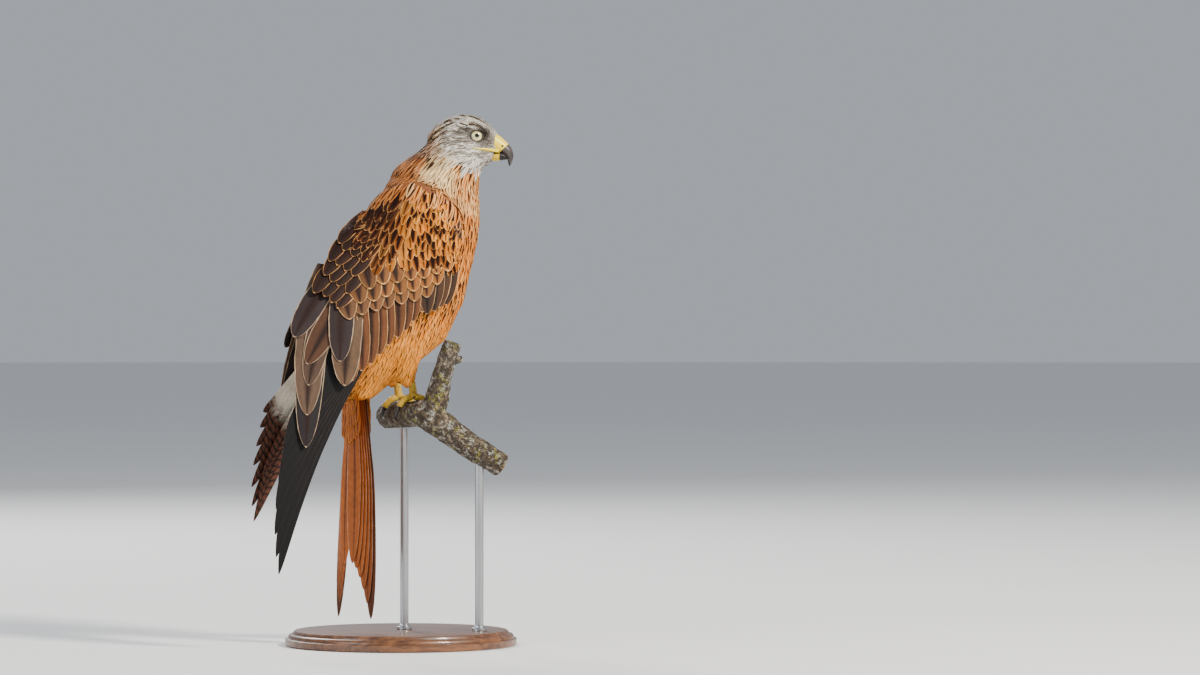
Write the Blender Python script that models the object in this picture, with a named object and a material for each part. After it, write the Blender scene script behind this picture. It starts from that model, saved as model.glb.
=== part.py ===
"""Red kite, life size, perched on a cut length of branch on a display stand.

Lengths are in millimetres, measured from the perch centre under the feet, with
+X the way the body faces, +Y the bird's left and +Z up. They turn into metres,
and move to the stand's frame, in to_world alone.
"""
import bpy
import bmesh
from math import cos, pi, radians, sin, sqrt
from mathutils import Matrix, Vector

MM = 0.001
GAP = 0.3

# Stand and perch
PERCH_CENTRE = Vector((30.0, 0.0, 280.0))
BASE_RADIUS = 135.0
BASE_THICKNESS = 18.0
ROD_RADIUS = 5.0
LIMB_RADIUS = 16.0
LIMB_FAR_END = Vector((-21.0, 62.0, -13.0))
LIMB_JOINT = Vector((-26.0, -56.0, -9.0))
BRANCH_CUT_END = Vector((72.0, -58.0, -70.0))
STUB_TOP = Vector((4.0, -74.0, 74.0))

# Trunk of the body, bottom to top: place along the midline, half depth, half width
TRUNK = (
    ((-86.0, 6.0), 15.0, 18.0),
    ((-68.0, 38.0), 42.0, 36.0),
    ((-44.0, 76.0), 68.0, 46.0),
    ((-29.0, 122.0), 76.0, 53.0),
    ((-16.0, 174.0), 75.0, 56.0),
    ((-3.0, 212.0), 70.0, 54.0),
    ((5.0, 240.0), 62.0, 48.0),
    ((9.0, 258.0), 55.0, 43.0),
)
NECK_JOINT_HEIGHT = 236.0
NECK = (
    ((4.0, 232.0), 60.0, 47.0, 0.0),
    ((9.0, 252.0), 56.0, 43.0, 0.35),
    ((15.0, 270.0), 51.0, 38.0, 0.7),
    ((25.0, 290.0), 41.0, 32.0, 1.0),
    ((36.0, 306.0), 33.0, 26.0, 1.0),
)

# Head, turned to the bird's right so that it shows in profile
HEAD_TURN = radians(-25.0)
HEAD_MIDPLANE = 6.3
HEAD = (
    (3.0, 316.0, 290.0, 13.0),
    (12.0, 327.5, 278.0, 20.0),
    (26.0, 337.0, 271.0, 24.0),
    (42.0, 341.2, 269.0, 25.5),
    (56.0, 340.0, 271.5, 24.5),
    (67.0, 336.2, 275.5, 20.8),
    (76.5, 329.5, 280.0, 15.8),
    (83.5, 321.0, 283.6, 12.0),
)
FACE_PLANE_SLOPE = 7.0 / 30.0
FACE_PLANE_FOOT = (80.5, 285.0)
EYE_ALONG = 59.9
EYE_HEIGHT = 314.0
EYE_DEPTH = 15.2
EYE_RADIUS = 8.6
LID_RADIUS = 7.6
GAPE_BACK = (55.0, 299.6)
GAPE_FRONT = (88.0, 295.8)

# Wings: the sheet that the feathers lie on, from the wrist down to the tip
WING_WRIST = Vector((20.0, -65.0, 222.0))
FAR_WRIST_SHIFT = Vector((8.0, 0.0, -6.0))
WING_TIP = Vector((-197.0, -42.0, -190.0))
FAR_SPREAD = 0.8
FAR_HAND_REACH = 0.89
FAR_HAND_SWEEP = 32.0
VANE_THICKNESS = 0.75
PRIMARY_THICKNESS = 0.5
PRIMARY_STEP = 0.85

# Tail
TAIL_ROOT = Vector((-89.0, 0.0, 12.0))
TAIL_FORK_HEIGHT = -183.0
TAIL_TIP_HEIGHT = -247.0
TAIL_HALF_WIDTH = 32.0
TAIL_TWIST = radians(15.0)
TAIL_LEAN = 0.025
TAIL_BOW = 0.0012
RECTRICES = 12

# Legs
FOOT_SIDE = 25.0
TOE_RADIUS = 4.0
CLAW_REACH = 13.7


def to_world(point):
    return (Vector(point) + PERCH_CENTRE) * MM


def head_point(along, side, height):
    """A place on the head: along the bill, to the head's left, and up."""
    across = HEAD_MIDPLANE + side
    turn = -HEAD_TURN
    x = cos(turn) * along + sin(turn) * across
    y = -sin(turn) * along + cos(turn) * across
    return Vector((x, y, height))


def clear_objects():
    for old in list(bpy.data.objects):
        bpy.data.objects.remove(old, do_unlink=True)


def collection(name):
    group = bpy.data.collections.new(name)
    bpy.context.scene.collection.children.link(group)
    return group


def finish(name, colour, roughness, metallic=0.0):
    material = bpy.data.materials.new(name)
    material.use_nodes = True
    shader = material.node_tree.nodes["Principled BSDF"]
    shader.inputs["Base Color"].default_value = (*colour, 1.0)
    shader.inputs["Roughness"].default_value = roughness
    shader.inputs["Metallic"].default_value = metallic
    material.diffuse_color = (*colour, 1.0)
    return material


def make_object(name, bm, material, group, smooth_angle=40.0):
    bmesh.ops.triangulate(bm, faces=bm.faces[:])
    mesh = bpy.data.meshes.new(name)
    bm.to_mesh(mesh)
    bm.free()
    mesh.shade_smooth()
    mesh.set_sharp_from_angle(angle=radians(smooth_angle))
    if material is not None:
        mesh.materials.append(material)
    obj = bpy.data.objects.new(name, mesh)
    group.objects.link(obj)
    return obj


def keep_largest_surface(obj):
    """Drops scraps and the inner walls that a union seals."""
    bm = bmesh.new()
    bm.from_mesh(obj.data)
    bmesh.ops.remove_doubles(bm, verts=bm.verts[:], dist=2e-6)
    bmesh.ops.dissolve_degenerate(bm, edges=bm.edges[:], dist=2e-6)
    bmesh.ops.triangulate(bm, faces=bm.faces[:])
    unseen = set(bm.faces)
    shells = []
    while unseen:
        start = unseen.pop()
        shell = [start]
        stack = [start]
        while stack:
            face = stack.pop()
            for edge in face.edges:
                if len(edge.link_faces) != 2:
                    continue
                for other in edge.link_faces:
                    if other in unseen:
                        unseen.discard(other)
                        shell.append(other)
                        stack.append(other)
        shells.append(shell)
    largest = max(shells, key=lambda shell: sum(face.calc_area() for face in shell))
    kept = set(largest)
    scrap = [face for face in bm.faces if face not in kept]
    bmesh.ops.delete(bm, geom=scrap, context="FACES")
    bm.to_mesh(obj.data)
    bm.free()


def apply_modifiers(obj):
    depsgraph = bpy.context.evaluated_depsgraph_get()
    mesh = bpy.data.meshes.new_from_object(obj.evaluated_get(depsgraph))
    obj.modifiers.clear()
    obj.data = mesh


def unite(obj, pieces, solver="EXACT"):
    """Joins a collection of closed pieces to an object and removes them."""
    group = collection(obj.name + "_pieces")
    for piece in pieces:
        for owner in list(piece.users_collection):
            owner.objects.unlink(piece)
        group.objects.link(piece)
    union = obj.modifiers.new("union", "BOOLEAN")
    union.operation = "UNION"
    union.operand_type = "COLLECTION"
    union.collection = group
    union.solver = solver
    apply_modifiers(obj)
    for piece in pieces:
        bpy.data.objects.remove(piece, do_unlink=True)
    bpy.data.collections.remove(group)
    keep_largest_surface(obj)


def cut(obj, cutter, solver="EXACT"):
    difference = obj.modifiers.new("cut", "BOOLEAN")
    difference.operation = "DIFFERENCE"
    difference.object = cutter
    difference.solver = solver
    apply_modifiers(obj)
    keep_largest_surface(obj)


def inflated_copy(obj, distance, group):
    """A copy grown along its normals, to cut a neighbour clear by a gap."""
    bm = bmesh.new()
    bm.from_mesh(obj.data)
    bm.normal_update()
    moves = [vert.normal * distance * MM for vert in bm.verts]
    for vert, move in zip(bm.verts, moves):
        vert.co += move
    copy = make_object(obj.name + "_grown", bm, None, group)
    copy.hide_render = True
    copy.display_type = "WIRE"
    return copy


def part_with_plane(bm, point, normal):
    """Keeps the side that the normal points away from, closed on the plane."""
    cut_geometry = bm.verts[:] + bm.edges[:] + bm.faces[:]
    result = bmesh.ops.bisect_plane(
        bm, geom=cut_geometry, plane_co=to_world(point), plane_no=normal, clear_outer=True
    )
    rim = [item for item in result["geom_cut"] if isinstance(item, bmesh.types.BMEdge)]
    bmesh.ops.edgeloop_fill(bm, edges=rim)


def loft(rings, close_tip=False):
    """A closed skin over rings of points, with flat ends or a pointed tip."""
    bm = bmesh.new()
    rows = [[bm.verts.new(to_world(point)) for point in ring] for ring in rings]
    for lower, upper in zip(rows, rows[1:]):
        count = len(lower)
        for index in range(count):
            following = (index + 1) % count
            bm.faces.new((lower[index], lower[following], upper[following], upper[index]))
    bm.faces.new(list(reversed(rows[0])))
    if close_tip:
        tip = sum((vert.co for vert in rows[-1]), Vector()) / len(rows[-1])
        step = tip - sum((vert.co for vert in rows[-2]), Vector()) / len(rows[-2])
        apex = bm.verts.new(tip + step * 0.6)
        last = rows[-1]
        for index in range(len(last)):
            bm.faces.new((last[index], last[(index + 1) % len(last)], apex))
    else:
        bm.faces.new(rows[-1])
    bmesh.ops.triangulate(bm, faces=bm.faces[:])
    bmesh.ops.recalc_face_normals(bm, faces=bm.faces[:])
    return bm


def oval(centre, first, second, first_radius, second_radius, count):
    ring = []
    for index in range(count):
        angle = 2.0 * pi * index / count
        ring.append(centre + first * first_radius * cos(angle) + second * second_radius * sin(angle))
    return ring


def tube(points, radii, sides, close_tip=False, flat=1.0, side_hint=Vector((0, 0, 1))):
    """A round or flattened tube through points, with a radius at each."""
    rings = []
    for index, point in enumerate(points):
        before = points[max(index - 1, 0)]
        after = points[min(index + 1, len(points) - 1)]
        along = (after - before).normalized()
        first = along.cross(side_hint).normalized()
        second = along.cross(first).normalized()
        rings.append(oval(point, first, second, radii[index], radii[index] * flat, sides))
    return loft(rings, close_tip)


def rounded_width(v, root=0.45, widest=0.5, tip=0.42):
    """Width of a feather along its length: narrow quill, full vane, round end."""
    if v < widest:
        return root + (1.0 - root) * sin(0.5 * pi * v / widest)
    far = (v - widest) / (1.0 - widest)
    return tip + (1.0 - tip) * sqrt(max(1.0 - far ** 2.6, 0.0))


def vane(mapping, path, width, thickness, rows=4, tilt=0.0, height=0.0, rise=0.0, tip=0.42):
    """One feather as a thin closed blade.

    mapping turns (a, b, height) on a sheet into a place; path gives (a, b) for
    0 to 1 along the shaft; rise is what the tip gains over the root's height.
    """
    bm = bmesh.new()
    bmesh.ops.create_grid(bm, x_segments=2, y_segments=rows, size=1.0)
    places = {}
    for vert in bm.verts:
        u = vert.co.x
        v = 1.0 - (0.5 - 0.5 * vert.co.y) ** 1.35
        here = path(v)
        ahead = path(min(v + 0.02, 1.0)) - path(min(v + 0.02, 1.0) - 0.04)
        forward = ahead.normalized()
        side = Vector((-forward.y, forward.x))
        half = 0.5 * width * rounded_width(v, tip=tip)
        reach = -0.22 * width * abs(u) * v ** 4
        spot = here + side * (u * half) + forward * reach
        places[vert] = (spot.x, spot.y, height + rise * v + tilt * u * half)
    bmesh.ops.triangulate(bm, faces=bm.faces[:])
    top = list(bm.verts)
    under = bmesh.ops.extrude_face_region(bm, geom=bm.faces[:])
    lower = [item for item in under["geom"] if isinstance(item, bmesh.types.BMVert)]
    partner = {}
    for vert in lower:
        partner[vert] = places[min(top, key=lambda other: (other.co - vert.co).length_squared)]
    for vert, (a, b, level) in places.items():
        vert.co = to_world(mapping(a, b, level))
    for vert, (a, b, level) in partner.items():
        vert.co = to_world(mapping(a, b, level - thickness))
    bmesh.ops.triangulate(bm, faces=bm.faces[:])
    bmesh.ops.recalc_face_normals(bm, faces=bm.faces[:])
    return bm


def bow_path(root, control, tip):
    root, control, tip = Vector(root), Vector(control), Vector(tip)

    def at(v):
        return root * (1 - v) ** 2 + control * 2 * v * (1 - v) + tip * v * v

    return at


def straight_path(root, tip, bow=0.0):
    root, tip = Vector(root), Vector(tip)
    side = (tip - root).orthogonal().normalized()
    return bow_path(root, (root + tip) * 0.5 + side * 2.0 * bow, tip)


def blend(first, last, share):
    return tuple(one + (two - one) * share for one, two in zip(first, last))


# Body


def trunk_bm():
    rings = []
    for place, depth, width in TRUNK:
        centre = Vector((place[0], 0, place[1]))
        rings.append(oval(centre, Vector((-1, 0, 0)), Vector((0, 1, 0)), depth, width, 20))
    return loft(rings)


def neck_bm():
    rings = []
    for place, depth, width, turned in NECK:
        yaw = HEAD_TURN * turned
        ahead = Vector((cos(yaw), sin(yaw), 0))
        side = Vector((-sin(yaw), cos(yaw), 0))
        straight = Vector((place[0] / cos(HEAD_TURN), 0, place[1]))
        centre = straight.lerp(head_point(place[0], 0, place[1]), turned)
        rings.append(oval(centre, ahead, side, depth, width, 20))
    return loft(rings)


def head_ring(top, bottom, half_width, count):
    top = head_point(top[0], 0, top[1])
    bottom = head_point(bottom[0], 0, bottom[1])
    side = head_point(0, 1, 0) - head_point(0, 0, 0)
    centre = (top + bottom) * 0.5
    up = top - centre
    return oval(centre, up.normalized(), side, up.length, half_width, count)


def head_bm():
    rings = []
    for along, top, bottom, width in HEAD[:-1]:
        rings.append(head_ring((along, top), (along, bottom), width, 16))
    along, top, bottom, width = HEAD[-1]
    rings.append(head_ring((along, top), (along - 7.0, bottom), width, 16))
    front = FACE_PLANE_FOOT[0] + FACE_PLANE_SLOPE * (316.0 - FACE_PLANE_FOOT[1]) - 2.0 * GAP
    rings.append(head_ring((front, 316.0), (FACE_PLANE_FOOT[0] - 2.0 * GAP, 284.6), 9.6, 16))
    return loft(rings)


def make_body(finishes, group):
    """Torso, neck and head are one form, parted by thin cuts."""
    pieces = {
        "torso": make_object("torso", trunk_bm(), finishes["breast"], group),
        "neck": make_object("neck", neck_bm(), finishes["neck"], group),
        "head": make_object("head", head_bm(), finishes["head"], group),
    }
    whole = make_object("whole", trunk_bm(), None, group)
    unite(whole, [
        make_object("neck_copy", neck_bm(), None, group),
        make_object("head_copy", head_bm(), None, group),
    ])
    neck_plane = Vector((0.35, 0, 1)).normalized()
    neck_place = Vector((0, 0, NECK_JOINT_HEIGHT))
    head_plane = (head_point(0.35, 0, 1) - head_point(0, 0, 0)).normalized()
    head_place = head_point(30, 0, 287)
    cuts = {
        "torso": [(neck_place, neck_plane)],
        "neck": [(neck_place + neck_plane * GAP, -neck_plane), (head_place, head_plane)],
        "head": [(head_place + head_plane * GAP, -head_plane)],
    }
    for name, planes in cuts.items():
        bm = bmesh.new()
        bm.from_mesh(whole.data)
        for point, normal in planes:
            part_with_plane(bm, point, normal)
        bmesh.ops.triangulate(bm, faces=bm.faces[:])
        bm.to_mesh(pieces[name].data)
        bm.free()
        pieces[name].data.shade_smooth()
    bpy.data.objects.remove(whole, do_unlink=True)
    return pieces


def eye_centre(side):
    return head_point(EYE_ALONG, side * EYE_DEPTH, EYE_HEIGHT)


def sphere_bm(centre, radius, rings=8, sides=12, stretch=(1, 1, 1)):
    bm = bmesh.new()
    bmesh.ops.create_uvsphere(bm, u_segments=sides, v_segments=rings, radius=radius * MM)
    for vert in bm.verts:
        vert.co = Vector((vert.co.x * stretch[0], vert.co.y * stretch[1], vert.co.z * stretch[2]))
    bmesh.ops.rotate(bm, cent=(0, 0, 0), matrix=Matrix.Rotation(HEAD_TURN, 3, "Z"), verts=bm.verts)
    bmesh.ops.translate(bm, vec=to_world(centre), verts=bm.verts)
    return bm


def lid_bm(side):
    """The ring of the lids, a rounded band about the eye."""
    outward = (head_point(0.25, side, 0.1) - head_point(0, 0, 0)).normalized()
    up = Vector((0, 0, 1))
    along = outward.cross(up).normalized()
    up = along.cross(outward).normalized()
    centre = eye_centre(side) + outward * 4.6
    steps = 12
    bm = bmesh.new()
    rings = []
    for index in range(steps):
        angle = 2 * pi * index / steps
        spoke = along * cos(angle) + up * sin(angle)
        middle = centre + spoke * LID_RADIUS
        band = []
        for corner in range(4):
            turn = 2 * pi * corner / 4
            band.append(bm.verts.new(to_world(middle + spoke * 1.7 * cos(turn) + outward * 2.4 * sin(turn))))
        rings.append(band)
    for index in range(steps):
        here, there = rings[index], rings[(index + 1) % steps]
        for corner in range(4):
            after = (corner + 1) % 4
            bm.faces.new((here[corner], here[after], there[after], there[corner]))
    bmesh.ops.recalc_face_normals(bm, faces=bm.faces[:])
    return bm


def brow_bm(side):
    """The ridge over the eye that gives a kite its stare."""
    points = [
        head_point(50, side * 21.4, 323.0),
        head_point(58, side * 21.6, 323.6),
        head_point(66, side * 18.6, 321.6),
        head_point(73, side * 14.2, 317.6),
    ]
    return tube(points, (2.0, 3.0, 3.2, 2.0), 6)


def mouth_cutter(group):
    """A thin wedge that draws the line of the mouth below the eye."""
    back = head_point(GAPE_BACK[0], 0, GAPE_BACK[1])
    front = head_point(GAPE_FRONT[0], 0, GAPE_FRONT[1])
    side = head_point(0, 1, 0) - head_point(0, 0, 0)
    bm = bmesh.new()
    bmesh.ops.create_cube(bm, size=1.0)
    centre = (back + front) * 0.5
    forward = (front - back)
    up = side.cross(forward).normalized()
    for vert in bm.verts:
        share = vert.co.x
        vert.co = to_world(centre + forward * share + side * vert.co.y * 60.0 + up * vert.co.z * 0.9)
    bmesh.ops.recalc_face_normals(bm, faces=bm.faces[:])
    cutter = make_object("mouth_cutter", bm, None, group)
    core = tube(
        [head_point(52, 0, 298.5), head_point(70, 0, 297.0), head_point(90, 0, 295.0)], (22.0, 14.5, 7.0), 16
    )
    return cutter, make_object("mouth_core", core, None, group)


def nostril_cutter(side, group):
    return make_object("nostril", sphere_bm(head_point(90.9, side * 8.4, 303.2), 1.9, 6, 8), None, group)


BILL_UPPER = (
    ((98.1, 305.4), (87.7, 296.2), 7.7),
    ((101.6, 300.4), (91.4, 293.6), 6.7),
    ((103.5, 294.0), (94.6, 290.6), 5.3),
    ((103.0, 287.6), (96.6, 286.4), 3.7),
    ((101.0, 281.8), (97.6, 282.2), 2.0),
)
CERE = (
    ((87.7, 315.6), (83.3, 296.4), 9.6),
    ((91.8, 311.4), (84.9, 296.2), 9.2),
    ((97.7, 305.7), (87.3, 296.0), 7.9),
)
BILL_LOWER = (
    ((82.9, 295.4), (80.6, 285.2), 8.6),
    ((87.2, 295.4), (85.8, 285.8), 7.4),
    ((91.0, 292.7), (90.6, 286.4), 5.0),
    ((93.9, 289.9), (93.4, 286.9), 2.4),
)


def make_bill(finishes, group, hidden):
    upper = loft([head_ring(top, bottom, width, 12) for top, bottom, width in BILL_UPPER], close_tip=True)
    make_object("bill_upper", upper, finishes["bill"], group)
    lower = loft([head_ring(top, bottom, width, 12) for top, bottom, width in BILL_LOWER])
    make_object("bill_lower", lower, finishes["bill"], group)
    cere_bm = loft([head_ring(top, bottom, width, 12) for top, bottom, width in CERE])
    cere = make_object("cere", cere_bm, finishes["cere"], group)
    for side in (-1, 1):
        hole = nostril_cutter(side, hidden)
        cut(cere, hole)
        bpy.data.objects.remove(hole, do_unlink=True)


def make_head_details(head, finishes, group, hidden):
    additions = []
    for side in (-1, 1):
        additions.append(make_object("lid", lid_bm(side), None, hidden))
        additions.append(make_object("brow", brow_bm(side), None, hidden))
    unite(head, additions)
    for side, name in ((-1, "eye_right"), (1, "eye_left")):
        socket_bm = sphere_bm(eye_centre(side), EYE_RADIUS + GAP + 0.1)
        socket = make_object("socket", socket_bm, None, hidden)
        cut(head, socket)
        bpy.data.objects.remove(socket, do_unlink=True)
        make_object(name, sphere_bm(eye_centre(side), EYE_RADIUS), finishes["eye"], group)
    cutter, core = mouth_cutter(hidden)
    cut(cutter, core)
    cut(head, cutter)
    bpy.data.objects.remove(cutter, do_unlink=True)
    bpy.data.objects.remove(core, do_unlink=True)


# Wings


class WingSheet:
    """The curved sheet under a folded wing.

    a runs down from the wrist to the tip, b runs back and round the body, and
    height stands off the sheet, outwards. side is -1 for the bird's right.
    """

    def __init__(self, wrist, tip, side, spread):
        self.wrist = wrist
        self.side = side
        self.spread = spread
        self.down = (tip - wrist).normalized()
        outward = Vector((0, -1, 0))
        self.out = (outward - self.down * outward.dot(self.down)).normalized()
        self.back = self.down.cross(self.out).normalized()

    def radius(self, a):
        """Tight round the shoulder, nearly flat at the tip."""
        return 90.0 + 0.9 * max(a - 70.0, 0.0)

    def __call__(self, a, b, height):
        bend = self.radius(a)
        angle = b / bend
        if b > 0.0:
            angle *= self.spread
        along = self.wrist + self.down * a
        reach = 1.15 if b > 0.0 else 1.0
        swing = self.back * (reach * bend * sin(angle)) - self.out * (bend * (1.0 - cos(angle)))
        normal = self.out * cos(angle) + self.back * sin(angle)
        point = along + swing + normal * height
        return Vector((point.x, -self.side * point.y, point.z))


def boxy(value):
    """Pushes a sine or cosine outwards, from a circle towards a square."""
    return abs(value) ** 0.6 * (1.0 if value >= 0.0 else -1.0)


def pad_top(a, b):
    """Height of the arm's pad: thick at the shoulder, thin where the flight feathers leave it."""
    return min(max(8.6 - 0.13 * (a - 1.1 * b - 40.0), -3.0), PAD_HEIGHT)


def wing_core_bm(sheet):
    """The arm under the coverts, a pad with rounded edges."""
    columns = 12
    stations = 6
    rings = []
    for index in range(stations):
        share = index / (stations - 1)
        swell = sqrt(max(1.0 - (2.0 * share - 1.0) ** 6, 0.1))
        front = -8.0 - 18.0 * sin(pi * min(1.2 * share, 1.0))
        back = 58.0 + 40.0 * sin(pi * min(share + 0.15, 0.6))
        a = -14.0 + 154.0 * share
        ring = []
        for column in range(columns):
            angle = 2 * pi * column / columns
            b = 0.5 * (front + back) + 0.5 * (back - front) * swell * boxy(cos(angle))
            top = pad_top(a, b)
            middle = 0.5 * (top + PAD_FLOOR)
            ring.append(sheet(a, b, middle + 0.5 * (top - PAD_FLOOR) * swell * boxy(sin(angle))))
        rings.append(ring)
    return loft(rings)


def tier(sheet, count, tips, headings, lengths, widths, level, tilt, rows=3, rank=0.0):
    """A row of feathers that overlap like tiles, each with its front edge on top.

    rank raises each feather over the one before, where they lie too close to tile.
    """
    blades = []
    for index in range(count):
        share = index / (count - 1)
        tip = Vector(blend(tips[0], tips[1], share))
        heading = Vector(blend(headings[0], headings[1], share)).normalized()
        length = lengths[0] + (lengths[1] - lengths[0]) * share
        width = widths[0] + (widths[1] - widths[0]) * share
        path = straight_path(tip - heading * length, tip)
        blades.append(vane(
            sheet, path, width, VANE_THICKNESS, rows=rows, tilt=-tilt, height=level + rank * index
        ))
    return blades


def primaries(sheet, reach, sweep):
    """Ten long feathers stacked under the secondaries, the innermost on top.

    reach and sweep bring the tips of a hand that is less stretched up and back.
    """
    ends = (
        (336, 54), (356, 48), (380, 41), (404, 33), (430, 22),
        (452, 10), (468, -1), (456, 3), (436, 10), (410, 18),
    )
    blades = []
    for index, end in enumerate(ends):
        share = index / 9
        root = (60.0 + 8.0 * share, 18.0 - 20.0 * share)
        control = (255.0 + 10.0 * share, 57.0 + 3.0 * share - 0.2 * sweep)
        tip = (end[0] * reach, end[1] + sweep)
        height = 1.0 - PRIMARY_STEP * index
        width = 30.0 - 9.0 * share
        blades.append(vane(
            sheet, bow_path(root, control, tip), width, PRIMARY_THICKNESS,
            rows=5, height=height, tip=0.2
        ))
    return blades


# Feathers of the arm hang straight down, across the slant of the folded wing
DOWN = (0.91, -0.45)
COVERT_LIE = (0.86, -0.52)
TERTIAL_LIE = (0.95, -0.32)
ALONG_WING = (1.0, 0.08)

# Heights of the feather rows over the sheet, each clear of the row below
SECONDARY_LEVEL = 3.0
TERTIAL_LEVEL = 4.6
BROAD_TERTIAL_LEVEL = 7.9
TERTIAL_RANK = 0.9
GREATER_LEVEL = 5.0
GREATER_RANK = 1.0
MEDIAN_LEVEL = 7.6
MEDIAN_RANK = 0.75
SCAPULAR_ROWS = ((163.0, 84.0, 11.9), (138.0, 62.0, 13.4))
PAD_HEIGHT = 14.0
PAD_FLOOR = -9.5


def wing_blades(sheet):
    blades = tier(
        sheet, 8, ((126, -9), (230, 25)), (DOWN, DOWN), (85, 126), (19, 21), SECONDARY_LEVEL, 0.1
    )
    blades += tier(
        sheet, 4, ((326, 37), (220, 90)), (TERTIAL_LIE, ALONG_WING), (208, 104), (30, 27),
        TERTIAL_LEVEL, 0.0, 4, TERTIAL_RANK
    )
    blades += tier(
        sheet, 2, ((243, 32), (222, 50)), (TERTIAL_LIE, TERTIAL_LIE), (130, 112), (31, 26),
        BROAD_TERTIAL_LEVEL, 0.0, 4, TERTIAL_RANK
    )
    blades += tier(
        sheet, 3, ((100, -30), (122, -16)), (ALONG_WING, DOWN), (62, 76), (15, 17), SECONDARY_LEVEL, 0.08
    )
    blades += tier(
        sheet, 6, ((106, -4), (172, 54)), (COVERT_LIE, COVERT_LIE), (60, 66), (22, 22),
        GREATER_LEVEL, 0.05, 3, GREATER_RANK
    )
    blades += tier(
        sheet, 6, ((64, -12), (134, 52)), (COVERT_LIE, COVERT_LIE), (48, 54), (22, 22),
        MEDIAN_LEVEL, 0.05, 3, MEDIAN_RANK
    )
    for reach, length, level in SCAPULAR_ROWS:
        blades += tier(
            sheet, 3, ((reach + 4, 71), (reach - 3, 91)), (ALONG_WING, ALONG_WING),
            (length, length), (24, 24), level, 0.09
        )
    return blades


def make_wing(name, side, wrist, spread, reach, sweep, torso_cutter, finishes, group, hidden):
    sheet = WingSheet(wrist, WING_TIP, side, spread)
    wing = make_object(name, wing_core_bm(sheet), finishes["wing"], group)
    blades = primaries(sheet, reach, sweep) + wing_blades(sheet)
    pieces = [make_object("blade", bm, None, hidden) for bm in blades]
    unite(wing, pieces)
    cut(wing, torso_cutter)
    return wing


# Tail


def tail_sheet(a, b, height):
    """a runs down from the tail's root, b to the bird's left, height to the back."""
    twist = TAIL_TWIST * min(max((a + 20.0) / 120.0, 0.0), 1.0)
    bowed = height - TAIL_BOW * b * b
    x = TAIL_ROOT.x - TAIL_LEAN * a - bowed * cos(twist) - b * sin(twist)
    y = TAIL_ROOT.y + b * cos(twist) - bowed * sin(twist)
    return Vector((x, y, TAIL_ROOT.z - a))


def tail_blades():
    blades = []
    length = TAIL_ROOT.z - TAIL_FORK_HEIGHT
    longest = TAIL_ROOT.z - TAIL_TIP_HEIGHT
    pairs = RECTRICES // 2
    for pair in range(pairs):
        share = pair / (pairs - 1)
        reach = length + (longest - length) * share ** 1.5
        for side in (-1, 1):
            root = (-14.0, side * (3.0 + 8.0 * share))
            end = (reach, side * (8.0 + (TAIL_HALF_WIDTH - 8.0) * share))
            level = 3.0 - 1.9 * pair - (0.95 if side > 0 else 0.0)
            blades.append(vane(
                tail_sheet, straight_path(root, end), 26.0 - 3.0 * share, PRIMARY_THICKNESS,
                rows=4, height=level, tip=0.3
            ))
    return blades


def tail_covert_blades():
    blades = []
    for index in range(4):
        b = -16.5 + 11.0 * index
        blades.append(vane(
            tail_sheet, straight_path((-26, b * 0.7), (54.0 - 0.06 * b * b, b)), 16.0, VANE_THICKNESS,
            rows=3, height=2.0, rise=4.0, tilt=0.11
        ))
        blades.append(vane(
            tail_sheet, straight_path((-30, b * 0.7), (46.0 - 0.05 * b * b, b)), 16.0, VANE_THICKNESS,
            rows=3, height=-8.0, rise=-4.5, tilt=0.11
        ))
    return blades


def make_tail(torso_cutter, finishes, group, hidden):
    rings = []
    for index in range(6):
        share = index / 5
        a = -36.0 + 54.0 * share
        swell = sqrt(max(1.0 - (2.0 * share - 1.0) ** 4, 0.08))
        ring = []
        for corner in range(8):
            angle = 2 * pi * corner / 8
            ring.append(tail_sheet(a, 19.0 * swell * cos(angle), -3.0 + 7.5 * swell * sin(angle)))
        rings.append(ring)
    tail = make_object("tail", loft(rings), finishes["tail"], group)
    blades = tail_blades() + tail_covert_blades()
    unite(tail, [make_object("blade", bm, None, hidden) for bm in blades])
    cut(tail, torso_cutter)
    return tail


# Legs


def limb_centre(y):
    share = (y - LIMB_JOINT.y) / (LIMB_FAR_END.y - LIMB_JOINT.y)
    return LIMB_JOINT.lerp(LIMB_FAR_END, share)


def thigh_bm(side):
    foot = limb_centre(side * FOOT_SIDE)
    points = [
        Vector((-42, side * 24, 104)),
        Vector((-40, side * 26, 82)),
        Vector((-39, side * 27, 58)),
        Vector((foot.x - 10, side * 26, 38)),
        Vector((foot.x - 3, side * FOOT_SIDE, 22)),
    ]
    return tube(points, (28.0, 33.0, 28.0, 17.0, 7.5), 12, flat=0.66, side_hint=Vector((0, 1, 0)))


def trouser_blades(side):
    """The long feathers that hang round the lower leg."""
    foot = limb_centre(side * FOOT_SIDE)
    count = 8
    blades = []
    for index in range(count):
        angle = 2 * pi * index / count

        def around(a, b, height, angle=angle):
            radius = 21.0 - 0.16 * a + height
            turn = angle + b / 20.0
            return Vector((
                foot.x - 12.0 + 0.14 * a + radius * cos(turn),
                side * (FOOT_SIDE + 1.5) + 0.72 * radius * sin(turn),
                60.0 - a,
            ))

        blades.append(vane(
            around, straight_path((0, 0), (44.0 - 2.0 * cos(angle), 0)), 16.0, 0.9,
            rows=3, height=-2.0, rise=3.5, tilt=0.12, tip=0.25
        ))
    return blades


def toe_path(side, spread, way, sweep):
    """Points over the limb, from the ankle down one side of it."""
    points = []
    steps = 6
    for step in range(steps):
        share = step / (steps - 1)
        angle = radians(4.0 + sweep * share)
        y = side * FOOT_SIDE + spread * (0.25 + 0.75 * share)
        reach = LIMB_RADIUS + GAP + TOE_RADIUS * 0.96
        points.append(limb_centre(y) + Vector((way * reach * sin(angle), 0, reach * cos(angle))))
    return points


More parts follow.
